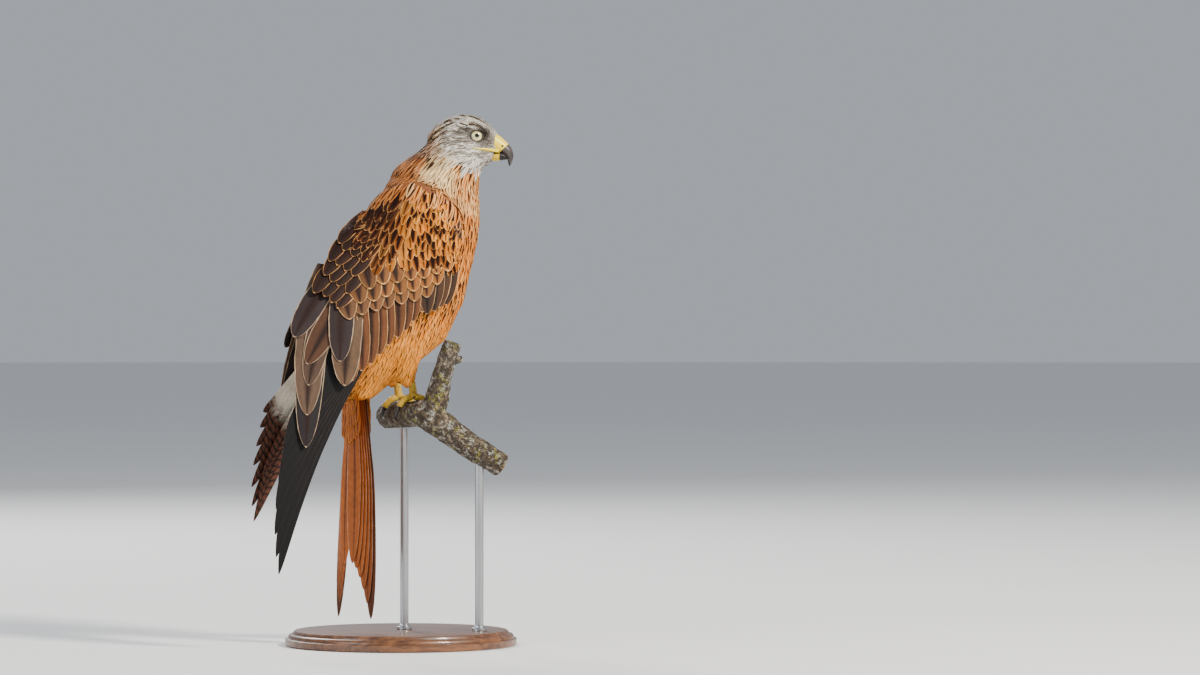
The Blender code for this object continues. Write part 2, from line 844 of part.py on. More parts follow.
def make_claw(name, toe_points, finishes, group):
    heading = (toe_points[-1] - toe_points[-2]).normalized()
    inward = (limb_centre(toe_points[-1].y) - toe_points[-1]).normalized()
    start = toe_points[-1] + heading * (GAP + 0.05)
    points = []
    for step in range(5):
        share = step / 4
        hook = 2.2 * share - share * share
        points.append(start + heading * (CLAW_REACH * share) + inward * hook)
    claw = tube(points, (2.4, 2.2, 1.7, 1.1, 0.5), 6, side_hint=Vector((0, 1, 0)))
    make_object(name, claw, finishes["claw"], group)


def make_leg(side, label, torso_cutter, finishes, group, hidden):
    ankle = limb_centre(side * FOOT_SIDE) + Vector((0, 0, LIMB_RADIUS + GAP + 4.5))
    shank = tube([ankle + Vector((-1, 0, 12.0)), ankle + Vector((0, 0, -1.5))], (4.6, 5.4), 8)
    foot = make_object("foot_" + label, shank, finishes["foot"], group)
    toes = []
    plans = ((0.0, 1, 68.0), (9.5, 1, 60.0), (-9.5, 1, 60.0), (0.0, -1, 62.0))
    for number, (spread, way, sweep) in enumerate(plans):
        points = toe_path(side, spread, way, sweep)
        radii = [TOE_RADIUS * share for share in (1.0, 1.0, 0.92, 0.96, 0.84, 0.66)]
        toes.append(make_object("toe", tube(points, radii, 6, side_hint=Vector((0, 1, 0))), None, hidden))
        make_claw("claw_%s_%d" % (label, number + 1), points, finishes, group)
    unite(foot, toes)
    thigh = make_object("thigh_" + label, thigh_bm(side), finishes["breast"], group)
    unite(thigh, [make_object("blade", bm, None, hidden) for bm in trouser_blades(side)])
    cut(thigh, torso_cutter)
    cut(thigh, inflated_copy(foot, GAP, hidden))


# Perch and stand


def perch_tube(points, radii):
    return tube(points, radii, 12, side_hint=Vector((0.3, 0.2, 1)))


def make_perch(finishes, group, hidden):
    limb_points = [LIMB_FAR_END.lerp(LIMB_JOINT, share / 5) for share in range(6)]
    limb = make_object("perch_branch", perch_tube(limb_points, [LIMB_RADIUS] * 6), finishes["bark"], group)
    bend = [
        LIMB_JOINT + Vector((-8, 6, 4)),
        LIMB_JOINT + Vector((14, -4, -8)),
        LIMB_JOINT + Vector((52, -2, -34)),
        BRANCH_CUT_END,
    ]
    lower = make_object("lower", perch_tube(bend, (15, 18, 16, 15)), None, hidden)
    stub_points = [
        LIMB_JOINT + Vector((6, -4, -8)),
        LIMB_JOINT + Vector((14, -8, 16)),
        LIMB_JOINT.lerp(STUB_TOP, 0.6) + Vector((3, 0, 0)),
        STUB_TOP,
    ]
    stub_bm = tube(stub_points, (17, 15, 12, 11), 12, side_hint=Vector((0, 1, 0)))
    stub = make_object("stub", stub_bm, None, hidden)
    twig_root = LIMB_JOINT.lerp(STUB_TOP, 0.72)
    twig_points = [twig_root, twig_root + Vector((16, -2, 2)), twig_root + Vector((22, -3, 4))]
    twig = make_object("twig", tube(twig_points, (6, 5, 4.5), 8), None, hidden)
    unite(limb, [lower, stub, twig])
    hollow_points = [STUB_TOP - (STUB_TOP - stub_points[2]).normalized() * 9, STUB_TOP + Vector((0, 0, 4))]
    hollow_bm = tube(hollow_points, (4.5, 8.0), 8, side_hint=Vector((0, 1, 0)))
    hollow = make_object("hollow", hollow_bm, None, hidden)
    cut(limb, hollow)
    bpy.data.objects.remove(hollow, do_unlink=True)
    return limb


def make_stand(perch_cutter, finishes, group):
    floor = -PERCH_CENTRE.z
    base_centre = Vector((-PERCH_CENTRE.x, 0, floor))
    bm = bmesh.new()
    matrix = Matrix.Translation(to_world(base_centre + Vector((0, 0, BASE_THICKNESS / 2))))
    bmesh.ops.create_cone(
        bm, cap_ends=True, segments=40, radius1=BASE_RADIUS * MM, radius2=BASE_RADIUS * MM,
        depth=BASE_THICKNESS * MM, matrix=matrix
    )
    rim = [edge for edge in bm.edges if len(edge.link_faces) == 2 and edge.calc_face_angle(0) > radians(60)]
    bmesh.ops.bevel(bm, geom=rim, offset=3.0 * MM, segments=1, profile=0.5, affect="EDGES")
    make_object("stand_base", bm, finishes["base"], group)
    places = (limb_centre(6.0), LIMB_JOINT.lerp(BRANCH_CUT_END, 0.72))
    for number, place in enumerate(places):
        foot = Vector((place.x, place.y, floor + BASE_THICKNESS + GAP))
        top = Vector((place.x, place.y, place.z))
        name = "stand_rod_%d" % (number + 1)
        rod_bm = tube([foot, top], (ROD_RADIUS, ROD_RADIUS), 16, side_hint=Vector((0, 1, 0)))
        rod = make_object(name, rod_bm, finishes["rod"], group)
        cut(rod, perch_cutter)


def main():
    clear_objects()
    bird = collection("red_kite")
    hidden = collection("cutters")
    finishes = {
        "breast": finish("rufous_plumage", (0.52, 0.22, 0.07), 0.75),
        "neck": finish("neck_plumage", (0.60, 0.40, 0.22), 0.75),
        "head": finish("pale_head", (0.62, 0.58, 0.50), 0.75),
        "wing": finish("brown_wing", (0.20, 0.11, 0.06), 0.65),
        "tail": finish("rufous_tail", (0.42, 0.17, 0.07), 0.65),
        "bill": finish("bill_horn", (0.06, 0.05, 0.05), 0.35),
        "cere": finish("cere_skin", (0.85, 0.65, 0.04), 0.5),
        "eye": finish("eye_glass", (0.75, 0.70, 0.40), 0.1),
        "foot": finish("foot_scutes", (0.80, 0.60, 0.08), 0.55),
        "claw": finish("claw_horn", (0.03, 0.03, 0.03), 0.3),
        "bark": finish("bark", (0.22, 0.18, 0.14), 0.9),
        "base": finish("base_wood", (0.16, 0.09, 0.05), 0.45),
        "rod": finish("rod_steel", (0.35, 0.35, 0.36), 0.35, 1.0),
    }
    body = make_body(finishes, bird)
    make_head_details(body["head"], finishes, bird, hidden)
    make_bill(finishes, bird, hidden)
    torso_cutter = inflated_copy(body["torso"], GAP, hidden)
    make_wing("wing_right", -1, WING_WRIST, 1.0, 1.0, 0.0, torso_cutter, finishes, bird, hidden)
    make_wing(
        "wing_left", 1, WING_WRIST + FAR_WRIST_SHIFT, FAR_SPREAD, FAR_HAND_REACH, FAR_HAND_SWEEP,
        torso_cutter, finishes, bird, hidden
    )
    make_tail(torso_cutter, finishes, bird, hidden)
    make_leg(-1, "right", torso_cutter, finishes, bird, hidden)
    make_leg(1, "left", torso_cutter, finishes, bird, hidden)
    perch = make_perch(finishes, bird, hidden)
    perch_cutter = inflated_copy(perch, GAP, hidden)
    make_stand(perch_cutter, finishes, bird)
    for obj in list(hidden.objects):
        bpy.data.objects.remove(obj, do_unlink=True)


main()
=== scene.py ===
"""Red kite on its perch: plumage, skin, bare parts, bark and stand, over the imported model.

Places are in millimetres from the perch centre under the feet, with +X the way
the body faces, +Y the bird's left and +Z up, and turn into metres in to_world.
"""
from math import atan2, cos, pi, radians, sin, sqrt

import bmesh
import bpy
import numpy as np
from mathutils import Matrix, Vector, noise
from mathutils.bvhtree import BVHTree


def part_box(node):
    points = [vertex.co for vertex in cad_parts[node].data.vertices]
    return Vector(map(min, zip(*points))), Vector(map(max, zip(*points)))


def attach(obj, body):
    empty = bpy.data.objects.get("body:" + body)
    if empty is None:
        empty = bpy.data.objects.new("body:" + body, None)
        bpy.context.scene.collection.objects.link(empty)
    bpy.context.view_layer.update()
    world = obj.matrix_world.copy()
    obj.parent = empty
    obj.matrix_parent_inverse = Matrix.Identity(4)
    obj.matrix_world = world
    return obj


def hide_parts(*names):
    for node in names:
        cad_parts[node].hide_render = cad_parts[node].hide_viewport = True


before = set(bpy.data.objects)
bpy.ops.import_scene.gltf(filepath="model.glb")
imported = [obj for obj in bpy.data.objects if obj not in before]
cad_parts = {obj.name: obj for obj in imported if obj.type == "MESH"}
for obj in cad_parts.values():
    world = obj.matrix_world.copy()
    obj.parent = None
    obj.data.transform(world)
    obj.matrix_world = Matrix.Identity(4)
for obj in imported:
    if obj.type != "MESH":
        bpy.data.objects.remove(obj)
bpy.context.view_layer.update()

MM = 0.001
PERCH_CENTRE = Vector((30.0, 0.0, 280.0))

# Head frame: turned to the bird's right, so that it shows in profile
HEAD_TURN = radians(25.0)
HEAD_MIDPLANE = 6.3
HEAD_FOOT = (30.0, 287.0)
EYE_ALONG = 59.9
EYE_HEIGHT = 314.0
EYE_DEPTH = 15.2
EYE_RADIUS = 8.5
LID_RADIUS = 7.3
NOSTRIL_ALONG = 90.6
NOSTRIL_SIDE = 8.35
NOSTRIL_HEIGHT = 303.0
GAPE_START = 56.0
GAPE_END = 87.0
MOUTH_START = 66.0

# Wings
WING_WRIST = Vector((20.0, -65.0, 222.0))
FAR_WRIST_SHIFT = Vector((8.0, 0.0, -6.0))
WING_TIP = Vector((-197.0, -42.0, -190.0))
FAR_SPREAD = 0.8
FAR_HAND_REACH = 0.89
FAR_HAND_SWEEP = 32.0
BACK_STRETCH = 1.15
PAD_HEIGHT = 14.0
PAD_FLOOR = -9.5

# Tail
TAIL_ROOT = Vector((-89.0, 0.0, 12.0))
TAIL_FORK_HEIGHT = -183.0
TAIL_TIP_HEIGHT = -247.0
TAIL_HALF_WIDTH = 32.0
TAIL_TWIST = radians(15.0)
TAIL_LEAN = 0.025
TAIL_BOW = 0.0012

# Legs and perch
FOOT_SIDE = 25.0
LIMB_RADIUS = 16.0
LIMB_FAR_END = Vector((-21.0, 62.0, -13.0))
LIMB_JOINT = Vector((-26.0, -56.0, -9.0))
BRANCH_CUT_END = Vector((72.0, -58.0, -70.0))
TOE_RADIUS = 4.0
CLAW_REACH = 13.7

# How deep the skin lies under the plumage
BODY_COAT = 2.6
FACE_COAT = 0.9

# The lie of feathers on the wing, as shares along it and across it
STRAIGHT_DOWN = (0.91, -0.45)
COVERT_LIE = (0.86, -0.52)
TERTIAL_LIE = (0.95, -0.32)
ALONG_WING = (1.0, 0.08)


def linear(red, green, blue):
    """A colour as a painter names it, 0 to 255, for the shader."""
    return tuple((value / 255.0) ** 2.2 for value in (red, green, blue))


WHITE_GREY = linear(242, 236, 224)
PALE_GREY = linear(172, 162, 148)
STREAK_BROWN = linear(72, 54, 40)
NAPE_RUFOUS = linear(172, 96, 40)
NAPE_DARK = linear(58, 38, 26)
CREAM = linear(240, 206, 150)
BREAST_ORANGE = linear(204, 108, 20)
BELLY_ORANGE = linear(222, 134, 38)
BREAST_DARK = linear(48, 20, 8)
LESSER_ORANGE = linear(212, 114, 18)
LESSER_DARK = linear(36, 16, 8)
COVERT_BROWN = linear(136, 76, 32)
COVERT_DARK = linear(44, 24, 13)
COVERT_BUFF = linear(226, 172, 104)
SECONDARY_BROWN = linear(96, 58, 32)
SECONDARY_EDGE = linear(206, 160, 108)
TERTIAL_EDGE = linear(178, 152, 124)
SCAPULAR_DARK = linear(46, 28, 20)
SCAPULAR_EDGE = linear(196, 140, 84)
PRIMARY_BLACK = linear(14, 10, 11)
PRIMARY_BROWN = linear(88, 54, 40)
WINDOW_CREAM = linear(238, 228, 208)
TAIL_RUFOUS = linear(172, 90, 36)
TAIL_DARK = linear(52, 32, 26)
TAIL_PALE = linear(226, 206, 186)


def to_world(point):
    return (Vector(point) + PERCH_CENTRE) * MM


def head_point(along, side, height):
    """A place on the head: along the bill, to the head's left, and up."""
    across = HEAD_MIDPLANE + side
    x = cos(HEAD_TURN) * along + sin(HEAD_TURN) * across
    y = -sin(HEAD_TURN) * along + cos(HEAD_TURN) * across
    return Vector((x, y, height))


HEAD_AHEAD = head_point(1, 0, 0) - head_point(0, 0, 0)
HEAD_LEFT = head_point(0, 1, 0) - head_point(0, 0, 0)


def smooth(low, high, value):
    """0 below low, 1 above high and smooth between, for numbers and arrays."""
    share = np.clip((value - low) / (high - low), 0.0, 1.0)
    return share * share * (3.0 - 2.0 * share)


def between(first, last, share):
    return np.asarray(first) + (np.asarray(last) - np.asarray(first)) * share


# Shaders


class Signal:
    """A shader socket that joins in sums: each operator adds its node."""

    def __init__(self, look, socket):
        self.look = look
        self.socket = socket

    def maths(self, operation, *others):
        values = dict(enumerate((self,) + others))
        return self.look.node("ShaderNodeMath", {"operation": operation}, values)

    def __add__(self, other):
        return self.maths("ADD", other)

    def __radd__(self, other):
        return self.maths("ADD", other)

    def __sub__(self, other):
        return self.maths("SUBTRACT", other)

    def __rsub__(self, other):
        return (self * -1.0) + other

    def __mul__(self, other):
        return self.maths("MULTIPLY", other)

    def __rmul__(self, other):
        return self.maths("MULTIPLY", other)

    def __truediv__(self, other):
        return self.maths("DIVIDE", other)

    def __pow__(self, other):
        return self.maths("POWER", other)

    def size(self):
        return self.maths("ABSOLUTE")

    def wave(self):
        return self.maths("SINE")

    def most(self, other):
        return self.maths("MAXIMUM", other)

    def least(self, other):
        return self.maths("MINIMUM", other)

    def step(self, low, high):
        """0 below low, 1 above high and smooth between."""
        values = {"Value": self, "From Min": low, "From Max": high}
        return self.look.node("ShaderNodeMapRange", {"interpolation_type": "SMOOTHSTEP"}, values)


class Look:
    """A material with named helpers for its nodes."""

    def __init__(
        self, name, roughness=0.6, metallic=0.0, coat=0.0, sheen=0.0, gloss=0.5, display=(0.5, 0.5, 0.5)
    ):
        self.material = bpy.data.materials.new(name)
        self.material.use_nodes = True
        self.material.diffuse_color = (*display, 1.0)
        self.tree = self.material.node_tree
        self.shader = self.tree.nodes["Principled BSDF"]
        self.shader.inputs["Roughness"].default_value = roughness
        self.shader.inputs["Metallic"].default_value = metallic
        self.shader.inputs["Coat Weight"].default_value = coat
        self.shader.inputs["Sheen Weight"].default_value = sheen
        self.shader.inputs["Specular IOR Level"].default_value = gloss

    def node(self, kind, settings=None, values=None, output=0):
        """Makes any node: settings first, then its sockets' values or links."""
        node = self.tree.nodes.new(kind)
        for name, value in (settings or {}).items():
            if name == "stops":
                ramp = node.color_ramp.elements
                while len(ramp) < len(value):
                    ramp.new(0.5)
                for stop, (place, colour) in zip(ramp, value):
                    stop.position = place
                    stop.color = (*colour, 1.0)
            else:
                setattr(node, name, value)
        for name, value in (values or {}).items():
            socket = node.inputs[name]
            if isinstance(value, Signal):
                self.tree.links.new(value.socket, socket)
            elif isinstance(value, tuple) and len(value) == 3 and socket.type == "RGBA":
                socket.default_value = (*value, 1.0)
            else:
                socket.default_value = value
        return Signal(self, node.outputs[output])

    def attribute(self, name, output=0):
        return self.node("ShaderNodeAttribute", {"attribute_name": name}, output=output)

    def parts(self, vector):
        """The three numbers of a vector."""
        node = self.node("ShaderNodeSeparateXYZ", values={0: vector}).socket.node
        return [Signal(self, socket) for socket in node.outputs]

    def vector(self, x, y, z=0.0):
        return self.node("ShaderNodeCombineXYZ", values={0: x, 1: y, 2: z})

    def places(self, stretch=(1.0, 1.0, 1.0), turn=(0.0, 0.0, 0.0)):
        """Object coordinates in millimetres, stretched and turned."""
        spot = self.node("ShaderNodeTexCoord", output=3)
        scale = tuple(value / MM for value in stretch)
        return self.node("ShaderNodeMapping", values={"Vector": spot, "Rotation": turn, "Scale": scale})

    def noise(self, vector, scale, detail=2.0, roughness=0.5, distortion=0.0):
        values = {
            "Vector": vector, "Scale": scale, "Detail": detail,
            "Roughness": roughness, "Distortion": distortion,
        }
        return self.node("ShaderNodeTexNoise", values=values)

    def cells(self, vector, scale, feature="F1", output=0):
        values = {"Vector": vector, "Scale": scale}
        return self.node("ShaderNodeTexVoronoi", {"feature": feature}, values, output)

    def mix(self, first, second, share, blend="MIX"):
        settings = {"data_type": "RGBA", "blend_type": blend}
        return self.node("ShaderNodeMix", settings, {0: share, 6: first, 7: second}, output=2)

    def shade(self, colour, share):
        """Darkens or lightens a colour by a number."""
        return self.node("ShaderNodeVectorMath", {"operation": "SCALE"}, {0: colour, "Scale": share})

    def bump(self, height, distance, strength=1.0):
        values = {"Height": height, "Distance": distance, "Strength": strength}
        self.finish("Normal", self.node("ShaderNodeBump", values=values))

    def finish(self, socket, signal):
        self.tree.links.new(signal.socket, self.shader.inputs[socket])


def feather_look(name, roughness, gloss, barb_depth, softness):
    """Plumage: a vane's own colours, its shaft streak, fringe, bars and barbs."""
    look = Look(name, roughness, gloss=gloss, display=COVERT_BROWN)
    across, along, _ = look.parts(look.node("ShaderNodeUVMap", {"uv_map": "vane"}))
    half_width, length, seed = look.parts(look.attribute("measure", 1))
    streak, fringe, bars = look.parts(look.attribute("plan", 1))
    web = (across * 2.0 - 1.0).size()
    reach_across = web * half_width
    reach_along = along * length
    slant = look.vector(reach_along - reach_across * 0.9, reach_across * 0.12, seed * 37.0)
    barbs = look.noise(slant, 1.6, 2.0)
    patches = look.noise(look.vector(reach_across * 0.16, reach_along * 0.06, seed * 91.0), 1.0, 2.0)
    ragged = (barbs - 0.5) * softness
    taper = (1.0 - along ** 3.0) * 0.8 + 0.3
    dark = 1.0 - (web + ragged * 0.45 - streak * taper).step(-0.22, 0.24)
    edge = (half_width - reach_across).least((length - reach_along) * 0.7)
    wide = fringe * (0.2 + patches * 1.6)
    pale = (1.0 - (edge + ragged * 0.6 - wide).step(-0.3, 0.5)) * (0.35 + patches * 0.8)
    colour = look.mix(look.attribute("ground"), look.attribute("streak"), dark * streak.step(0.0, 0.02))
    banding = ((reach_along * 0.62 + reach_across * 0.3).wave() - 0.1 + (patches - 0.5) * 2.0).step(0.0, 0.6)
    colour = look.mix(colour, look.attribute("streak"), banding * bars)
    colour = look.mix(colour, look.attribute("fringe"), pale * fringe.step(0.0, 0.1))
    below = (reach_along + (barbs - 0.5) * 40.0 + (patches - 0.5) * 40.0).step(196.0, 226.0)
    window = (bars - 0.5).step(0.0, 0.2) * reach_along.step(90.0, 130.0) * (1.0 - below)
    colour = look.mix(colour, look.attribute("fringe"), window * 0.92)
    shaft = 1.0 - reach_across.step(0.18, 0.55)
    tone = 0.9 + (barbs - 0.5) * 0.55 + (patches - 0.5) * 0.7
    look.finish("Base Color", look.shade(colour, tone - shaft * 0.35))
    look.bump(barbs * 0.6 + shaft * 0.8, barb_depth)
    return look.material


# Meshes


def skin_material(piece, material):
    piece.data.materials.clear()
    piece.data.materials.append(material)


def piece_from(bm, name, material, smooth_angle=50.0):
    """Turns a bmesh in metres into an object that rides on the model."""
    mesh = bpy.data.meshes.new(name)
    bm.to_mesh(mesh)
    bm.free()
    mesh.shade_smooth()
    mesh.set_sharp_from_angle(angle=radians(smooth_angle))
    mesh.materials.append(material)
    piece = bpy.data.objects.new(name, mesh)
    bpy.context.scene.collection.objects.link(piece)
    return piece


def carry(piece, slot, *nodes):
    """Sets a piece on the model's body, in place of the nodes named."""
    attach(piece, "root")
    if nodes:
        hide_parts(*nodes)
    return piece


def curve_through(points, share):
    """A smooth curve through points (tuples or vectors), share from 0 to 1."""
    last = len(points) - 1
    spot = min(max(share, 0.0), 1.0) * last
    index = min(int(spot), last - 1)
    t = spot - index
    before = np.array(points[max(index - 1, 0)], float)
    here = np.array(points[index], float)
    there = np.array(points[index + 1], float)
    after = np.array(points[min(index + 2, last)], float)
    bend = (2 * before - 5 * here + 4 * there - after) * t + (3 * (here - there) + after - before) * t * t
    return 0.5 * (2 * here + (there - before + bend) * t)


def wrapped(place, sides, rings, caps=False):
    """A closed tube: place(turn, share) gives its skin, turn and share from 0 to 1."""
    bm = bmesh.new()
    bm.loops.layers.uv.new("span")
    bmesh.ops.create_grid(bm, x_segments=sides, y_segments=rings, size=1.0, calc_uvs=True)
    for vert in bm.verts:
        vert.co = to_world(place(0.5 + 0.5 * vert.co.x, 0.5 + 0.5 * vert.co.y))
    bmesh.ops.remove_doubles(bm, verts=bm.verts[:], dist=1e-6)
    if caps:
        bmesh.ops.holes_fill(bm, edges=bm.edges[:])
    bmesh.ops.recalc_face_normals(bm, faces=bm.faces[:])
    return bm


def tube(points, radii, sides, rings, side_hint, flat=1.0, round_start=False, round_end=True):
    """A tube along a smooth curve, its ends rounded off."""
    def place(turn, share):
        here = Vector(curve_through(points, share))
        ahead = Vector(curve_through(points, min(share + 0.02, 1.0)))
        back = Vector(curve_through(points, max(share - 0.02, 0.0)))
        along = (ahead - back).normalized()
        first = along.cross(side_hint).normalized()
        second = along.cross(first).normalized()
        radius = float(curve_through([(value,) for value in radii], share)[0])
        if round_end:
            radius *= sqrt(max(1.0 - max((share - 0.9) / 0.1, 0.0) ** 2, 0.0))
        if round_start:
            radius *= sqrt(max(1.0 - max((0.1 - share) / 0.1, 0.0) ** 2, 0.0))
        angle = 2.0 * pi * turn
        return here + first * (radius * cos(angle)) + second * (radius * flat * sin(angle))

    return wrapped(place, sides, rings, caps=True)


# Vanes


def vane_corners(across, along):
    """Faces of one closed vane: an upper and a lower sheet that share their rim."""
    upper = np.arange(along * across).reshape(along, across)
    lower = upper.copy()
    inner = np.arange((along - 2) * (across - 2)).reshape(along - 2, across - 2)
    lower[1:-1, 1:-1] = inner + along * across

    def quads(grid):
        return np.stack((grid[:-1, :-1], grid[:-1, 1:], grid[1:, 1:], grid[1:, :-1]), axis=-1).reshape(-1, 4)

    return np.concatenate((quads(upper), quads(lower)[:, ::-1]))


class Dress:
    """A vane's colours and the widths of its streak, fringe and bars."""

    def __init__(self, ground, streak, fringe, streak_width=0.3, fringe_width=0.12, bars=0.0):
        self.colours = [tuple(ground), tuple(streak), tuple(fringe)]
        self.plan = (streak_width, fringe_width, bars)

    def toned(self, share):
        """The same dress, lighter or darker."""
        ground, streak, fringe = (tuple(np.asarray(colour) * share) for colour in self.colours)
        return Dress(ground, streak, fringe, *self.plan)


class Plumage:
    """Vanes gathered into one mesh, each with its colours and bake patch."""

    def __init__(self, across, along):
        self.across = across
        self.along = along
        self.sheets = []
        self.dresses = []
        self.measures = []
        self.patches = []

    def add(self, upper, lower, dress, measure, patch=None):
        """upper and lower are (along, across, 3) in millimetres; patch is on the bake map."""
        row, column = self.along // 2, self.across // 2
        wide = upper[row, column + 1] - upper[row, column - 1]
        facing = np.cross(wide, upper[row + 1, column] - upper[row - 1, column])
        if facing @ (upper[row, column] - lower[row, column]) < 0.0:
            upper, lower = upper[:, ::-1], lower[:, ::-1]
        self.sheets.append((upper, lower))
        self.dresses.append(dress)
        self.measures.append(measure)
        self.patches.append(patch)

    def spread_patches(self):
        """Gives every vane an oblong of its own on the bake map."""
        count = len(self.sheets)
        columns = int(np.ceil(np.sqrt(count * 2.0)))
        rows = int(np.ceil(count / columns))
        for index in range(count):
            column, row = index % columns, index // columns
            self.patches[index] = (
                (column + 0.06) / columns, (row + 0.04) / rows, 0.88 / columns, 0.92 / rows
            )

    def make(self, name, material):
        count = len(self.sheets)
        across, along = self.across, self.along
        each = along * across + (along - 2) * (across - 2)
        places = np.empty((count, each, 3))
        for index, (upper, lower) in enumerate(self.sheets):
            places[index, :along * across] = upper.reshape(-1, 3)
            places[index, along * across:] = lower[1:-1, 1:-1].reshape(-1, 3)
        places = (places + np.array(PERCH_CENTRE)) * MM
        corners = vane_corners(across, along)
        faces = (corners[None] + (np.arange(count) * each)[:, None, None]).reshape(-1, 4)
        mesh = bpy.data.meshes.new(name)
        mesh.vertices.add(count * each)
        mesh.loops.add(faces.size)
        mesh.polygons.add(len(faces))
        mesh.vertices.foreach_set("co", places.ravel())
        mesh.loops.foreach_set("vertex_index", faces.ravel())
        mesh.polygons.foreach_set("loop_start", np.arange(len(faces)) * 4)
        mesh.update(calc_edges=True)
        self.write_maps(mesh, count, each, corners)
        mesh.shade_smooth()
        mesh.set_sharp_from_angle(angle=radians(75.0))
        mesh.materials.append(material)
        piece = bpy.data.objects.new(name, mesh)
        bpy.context.scene.collection.objects.link(piece)
        return piece

    def write_maps(self, mesh, count, each, corners):
        across, along = self.across, self.along
        column, row = np.meshgrid(np.arange(across) / (across - 1), vane_steps(along))
        own = np.empty((each, 2))
        own[:along * across, 0] = column.ravel()
        own[:along * across, 1] = row.ravel()
        own[along * across:, 0] = column[1:-1, 1:-1].ravel()
        own[along * across:, 1] = row[1:-1, 1:-1].ravel()
        at_corners = np.tile(own[corners.ravel()], (count, 1, 1)).reshape(count, -1, 2)
        mesh.uv_layers.new(name="vane").uv.foreach_set("vector", at_corners.ravel())
        patch = np.array(self.patches)[:, None, :]
        bake = patch[..., :2] + at_corners * patch[..., 2:]
        mesh.uv_layers.new(name="OFBake").uv.foreach_set("vector", bake.ravel())
        for index, name in enumerate(("ground", "streak", "fringe")):
            colours = np.array([(*dress.colours[index], 1.0) for dress in self.dresses])
            layer = mesh.attributes.new(name, "FLOAT_COLOR", "POINT")
            layer.data.foreach_set("color", np.repeat(colours, each, axis=0).ravel())
        for name, rows in (("plan", [dress.plan for dress in self.dresses]), ("measure", self.measures)):
            layer = mesh.attributes.new(name, "FLOAT_VECTOR", "POINT")
            layer.data.foreach_set("vector", np.repeat(np.array(rows, float), each, axis=0).ravel())


def vane_steps(along):
    """Shares along a vane, closer together towards the tip."""
    return 1.0 - (1.0 - np.linspace(0.0, 1.0, along)) ** 1.4


def outline(v, root, widest, power):
    """Width of a vane along its length: quill, full web, round or pointed end."""
    near = root + (1.0 - root) * np.sin(0.5 * pi * np.minimum(v / widest, 1.0))
    far = np.clip((v - widest) / (1.0 - widest), 0.0, 1.0)
    return np.where(v < widest, near, np.maximum((1.0 - far ** power) ** 0.6, 0.04))


def bow_path(root, control, tip):
    root, control, tip = (np.array(point, float) for point in (root, control, tip))

    def at(v):
        return root * (1 - v) ** 2 + control * 2 * v * (1 - v) + tip * v * v

    return at


def straight_path(root, tip, bow=0.0):
    root, tip = np.array(root, float), np.array(tip, float)
    across = np.array((root[1] - tip[1], tip[0] - root[0]))
    return bow_path(root, (root + tip) * 0.5 + across * bow, tip)


def sheet_vane(plumage, sheet, path, width, level, dress, rise=0.0, tilt=0.0, camber=0.06,
               skew=0.0, root=0.45, widest=0.5, power=2.6, thickness=0.4, seed=0.0, wear=0.0,
               dive=0.0):
    """Adds one feather that lies on a sheet, sheet(a, b, height) giving places."""
    along, across = plumage.along, plumage.across
    upper = np.empty((along, across, 3))
    lower = np.empty((along, across, 3))
    shares = np.linspace(-1.0, 1.0, across)
    length = float(np.linalg.norm(path(1.0) - path(0.0)))
    for row, v in enumerate(vane_steps(along)):
        here = path(v)
        ahead = path(min(v + 0.02, 1.0)) - path(min(v + 0.02, 1.0) - 0.04)
        forward = ahead / np.linalg.norm(ahead)
        side = np.array((-forward[1], forward[0]))
        half = 0.5 * width * float(outline(v, root, widest, power))
        for column, u in enumerate(shares):
            worn = 1.0 + wear * noise.noise(Vector((seed * 9.1, v * length * 0.11, u * 2.0))) * abs(u)
            offset = half * (u + skew * (1.0 - u * u)) * worn
            spot = here + side * offset
            height = level + rise * v + tilt * u * half - camber * half * u * u - dive * (1.0 - v) ** 2.2
            upper[row, column] = sheet(spot[0], spot[1], height)
            lower[row, column] = sheet(spot[0], spot[1], height - thickness)
    plumage.add(upper, lower, dress, (0.5 * width, length, seed))


# Wings


class WingSheet:
    """The curved sheet under a folded wing.

    a runs down from the wrist to the tip, b runs back and round the body, and
    height stands off the sheet, outwards. side is -1 for the bird's right.
    """

    def __init__(self, wrist, tip, side, spread):
        self.wrist = wrist
        self.side = side
        self.spread = spread
        self.down = (tip - wrist).normalized()
        outward = Vector((0, -1, 0))
        self.out = (outward - self.down * outward.dot(self.down)).normalized()
        self.back = self.down.cross(self.out).normalized()

    def radius(self, a):
        return 90.0 + 0.9 * max(a - 70.0, 0.0)

    def __call__(self, a, b, height):
        bend = self.radius(a)
        angle = b / bend
        if b > 0.0:
            angle *= self.spread
        reach = BACK_STRETCH if b > 0.0 else 1.0
        swing = self.back * (reach * bend * sin(angle)) - self.out * (bend * (1.0 - cos(angle)))
        normal = self.out * cos(angle) + self.back * sin(angle)
        point = self.wrist + self.down * a + swing + normal * height
        return Vector((point.x, -self.side * point.y, point.z))

    def find_all(self, points):
        """The a, b and height of an array of places near the sheet."""
        own = points * (1.0, -self.side, 1.0) - np.array(self.wrist)
        a = own @ np.array(self.down)
        bend = 90.0 + 0.9 * np.maximum(a - 70.0, 0.0)
        back, out = own @ np.array(self.back), own @ np.array(self.out) + bend
        back = np.where(back > 0.0, back / BACK_STRETCH, back)
        angle = np.arctan2(back, out)
        return a, angle * bend / np.where(angle > 0.0, self.spread, 1.0), np.hypot(back, out) - bend

    def heading(self, lie):
        """The way in space of a lie given along and across the wing."""
        way = self.down * lie[0] + self.back * lie[1]
        return Vector((way.x, -self.side * way.y, way.z)).normalized()


